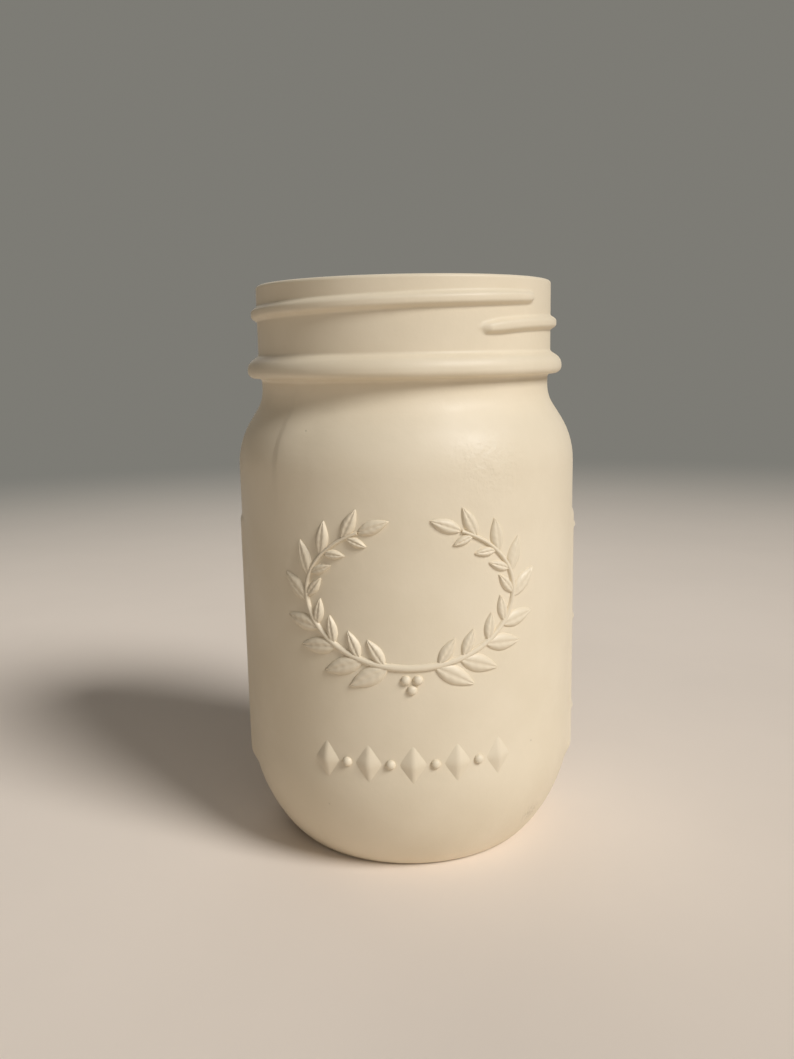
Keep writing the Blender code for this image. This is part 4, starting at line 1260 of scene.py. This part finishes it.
class LANTERN_OT_underside(bpy.types.Operator):
    """Soften the moulded base plate, battery cover and switch slider of the tealight"""

    bl_idname = "lantern.underside"
    bl_label = "Tealight Underside"

    bevel: length("Bevel", "Rounding of the moulded edges", 0.00012)

    def execute(self, context):
        finish = context.scene.lantern_finish
        white = moulded_material("white_moulding", finish.white_plastic, roughness=0.40, depth=0.00002)
        cover_white = moulded_material("cover_moulding", finish.white_plastic, roughness=0.46, depth=0.00003)
        black = moulded_material("black_moulding", finish.black_plastic, roughness=0.42, depth=0.00002)
        for node, body, slot, material in (
            ("base_plate", "tealight", "white_plastic", white),
            ("battery_cover", "cover", "white_plastic", cover_white),
            ("switch_slider", "switch", "black_plastic", black),
        ):
            piece = finish_piece(softened_copy(node, self.bevel), "moulded_" + node, body, [material])
            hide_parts(node)
        return {"FINISHED"}


class LANTERN_OT_inner_parts(bpy.types.Operator):
    """Give the tealight's electric parts their metal and lens finishes"""

    bl_idname = "lantern.inner_parts"
    bl_label = "Tealight Electrics"

    def execute(self, context):
        finish = context.scene.lantern_finish
        bronze = metal_material("spring_bronze", finish.bronze, roughness=0.28)
        steel = metal_material("cell_steel", finish.steel, roughness=0.24)
        tin = metal_material("tinned_wire", finish.tin, roughness=0.30)
        lens = lens_material(finish)
        for node, material in (
            ("negative_contact", bronze),
            ("positive_contact", bronze),
            ("switch_wiper", bronze),
            ("coin_cell", steel),
            ("led_anode_leg", tin),
            ("led_cathode_leg", tin),
            ("led_lens", lens),
        ):
            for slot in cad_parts[node].material_slots:
                slot.material = material
        return {"FINISHED"}


# The stage

def seen_rays(tree):
    """1 for rays that come from the camera, a reflection or a view through glass, and 0 for light."""
    rays = tree.nodes.new("ShaderNodeLightPath").outputs
    direct = math_node(tree, "MAXIMUM", rays["Is Camera Ray"], rays["Is Glossy Ray"])
    return math_node(tree, "MAXIMUM", direct, rays["Is Transmission Ray"])


def choose_shader(tree, mask, first, second, target):
    """Feeds a socket with one shader or another, by a mask."""
    choice = tree.nodes.new("ShaderNodeMixShader")
    for socket, output in zip(choice.inputs, (mask, first, second)):
        tree.links.new(output, socket)
    tree.links.new(choice.outputs["Shader"], target)


def floor_material(stage):
    """Pale floor with a trace of unevenness, which fades into the plain backdrop away from the jar."""
    floor = Shading("pale_floor")
    clouds = floor.group("soft_mottle", Scale=9.0)
    darker = shaded(stage.floor_colour, brightness=0.97)
    floor.feed("Base Color", floor.mix(clouds, stage.floor_colour, darker))
    floor.set(Roughness=0.8)
    fade = floor.ramp(floor.distance(), stage.floor_near, stage.floor_far)
    seen = floor.calculate("MULTIPLY", fade, seen_rays(floor.tree))
    backdrop = floor.tree.nodes.new("ShaderNodeEmission")
    backdrop.inputs["Color"].default_value = (*stage.backdrop_colour, 1.0)
    surface = floor.tree.nodes["Material Output"].inputs["Surface"]
    choose_shader(floor.tree, seen, floor.shader.outputs["BSDF"], backdrop.outputs["Emission"], surface)
    return floor.material


def even_light(tree, tone, strength=1.0):
    """Light of one colour from all round."""
    made = tree.nodes.new("ShaderNodeBackground")
    made.inputs["Color"].default_value = (*tone, 1.0)
    made.inputs["Strength"].default_value = strength
    return made.outputs["Background"]


def set_sky(stage):
    """Even light from all round; the camera, glass and metal see the plain backdrop colour instead."""
    world = bpy.context.scene.world or bpy.data.worlds.new("studio")
    bpy.context.scene.world = world
    world.use_nodes = True
    tree = world.node_tree
    tree.nodes.clear()
    sky = even_light(tree, stage.sky_tone, stage.sky_strength)
    backdrop = even_light(tree, stage.backdrop_colour)
    surface = tree.nodes.new("ShaderNodeOutputWorld").inputs["Surface"]
    choose_shader(tree, seen_rays(tree), sky, backdrop, surface)


def distant_light(name, side, height, strength, softness, tone):
    """A soft light that falls evenly on the whole floor, from a side and a height given as angles."""
    lamp = bpy.data.lights.new(name, "SUN")
    lamp.energy = strength
    lamp.angle = softness
    lamp.color = tone
    new_object(name, lamp).rotation_euler = (math.pi / 2 - height, 0.0, side)


def place_camera(stage):
    """The camera at the photograph's place, tilt and lean."""
    lens = bpy.data.cameras.new("photo_camera")
    lens.sensor_fit = "VERTICAL"
    lens.sensor_height = stage.camera_frame
    lens.lens = stage.camera_lens
    lens.clip_start = stage.camera_near
    camera = new_object("photo_camera", lens)
    camera.matrix_world = (
        Matrix.Translation(stage.camera_place)
        @ Matrix.Rotation(math.pi / 2 - stage.camera_pitch, 4, "X")
        @ Matrix.Rotation(-stage.camera_roll, 4, "Z")
    )
    bpy.context.scene.camera = camera


class LANTERN_OT_stage(bpy.types.Operator):
    """Lay the floor, hang the lights and set the camera where the photograph was taken"""

    bl_idname = "lantern.stage"
    bl_label = "Stage"

    def execute(self, context):
        stage = context.scene.stage_setup
        deselect_all()
        bpy.ops.mesh.primitive_plane_add(size=stage.floor_size, location=(0.0, 0.0, -stage.floor_gap))
        floor = context.object
        floor.name = "stage_floor"
        floor.data.materials.append(floor_material(stage))
        set_sky(stage)
        broad = (stage.key_softness, stage.key_tone)
        weak = (stage.weak_softness, stage.weak_tone)
        distant_light("key_light", stage.key_side, stage.key_height, stage.key_strength, *broad)
        distant_light("fill_light", stage.fill_side, stage.fill_height, stage.fill_strength, *weak)
        distant_light("back_light", stage.back_side, stage.back_height, stage.back_strength, *weak)
        place_camera(stage)
        context.scene.view_settings.view_transform = "Standard"
        return {"FINISHED"}


# The sidebar and the add-on's registration

class LANTERN_PT_sidebar(bpy.types.Panel):
    """Lists the lantern's pieces in the order that they are made, and the sizes and colours that they take"""

    bl_idname = "LANTERN_PT_sidebar"
    bl_label = "Painted Jar Lantern"
    bl_space_type = "VIEW_3D"
    bl_region_type = "UI"
    bl_category = "Lantern"

    def draw(self, context):
        for operator in OPERATORS:
            self.layout.operator(operator.bl_idname)
        for name, group in SETTINGS.items():
            box = self.layout.box()
            for setting in group.__annotations__:
                box.prop(getattr(context.scene, name), setting)


OPERATORS = (
    LANTERN_OT_jar,
    LANTERN_OT_front_relief,
    LANTERN_OT_side_panels,
    LANTERN_OT_mould_seams,
    LANTERN_OT_candle_shell,
    LANTERN_OT_flame,
    LANTERN_OT_underside,
    LANTERN_OT_inner_parts,
    LANTERN_OT_stage,
)
SETTINGS = {
    "jar_sizes": JarSizes,
    "relief_sizes": ReliefSizes,
    "lantern_finish": LanternFinish,
    "stage_setup": StageSetup,
}


def register():
    for group in SETTINGS.values():
        bpy.utils.register_class(group)
    for name, group in SETTINGS.items():
        setattr(bpy.types.Scene, name, PointerProperty(type=group))
    for operator in OPERATORS:
        bpy.utils.register_class(operator)
    bpy.utils.register_class(LANTERN_PT_sidebar)


def unregister():
    bpy.utils.unregister_class(LANTERN_PT_sidebar)
    for operator in reversed(OPERATORS):
        bpy.utils.unregister_class(operator)
    for name, group in SETTINGS.items():
        delattr(bpy.types.Scene, name)
        bpy.utils.unregister_class(group)


def main():
    register()
    bpy.ops.lantern.jar()
    bpy.ops.lantern.front_relief()
    bpy.ops.lantern.side_panels()
    bpy.ops.lantern.mould_seams()
    bpy.ops.lantern.candle_shell()
    bpy.ops.lantern.flame()
    bpy.ops.lantern.underside()
    bpy.ops.lantern.inner_parts()
    bpy.ops.lantern.stage()


if __name__ == "__main__":
    main()
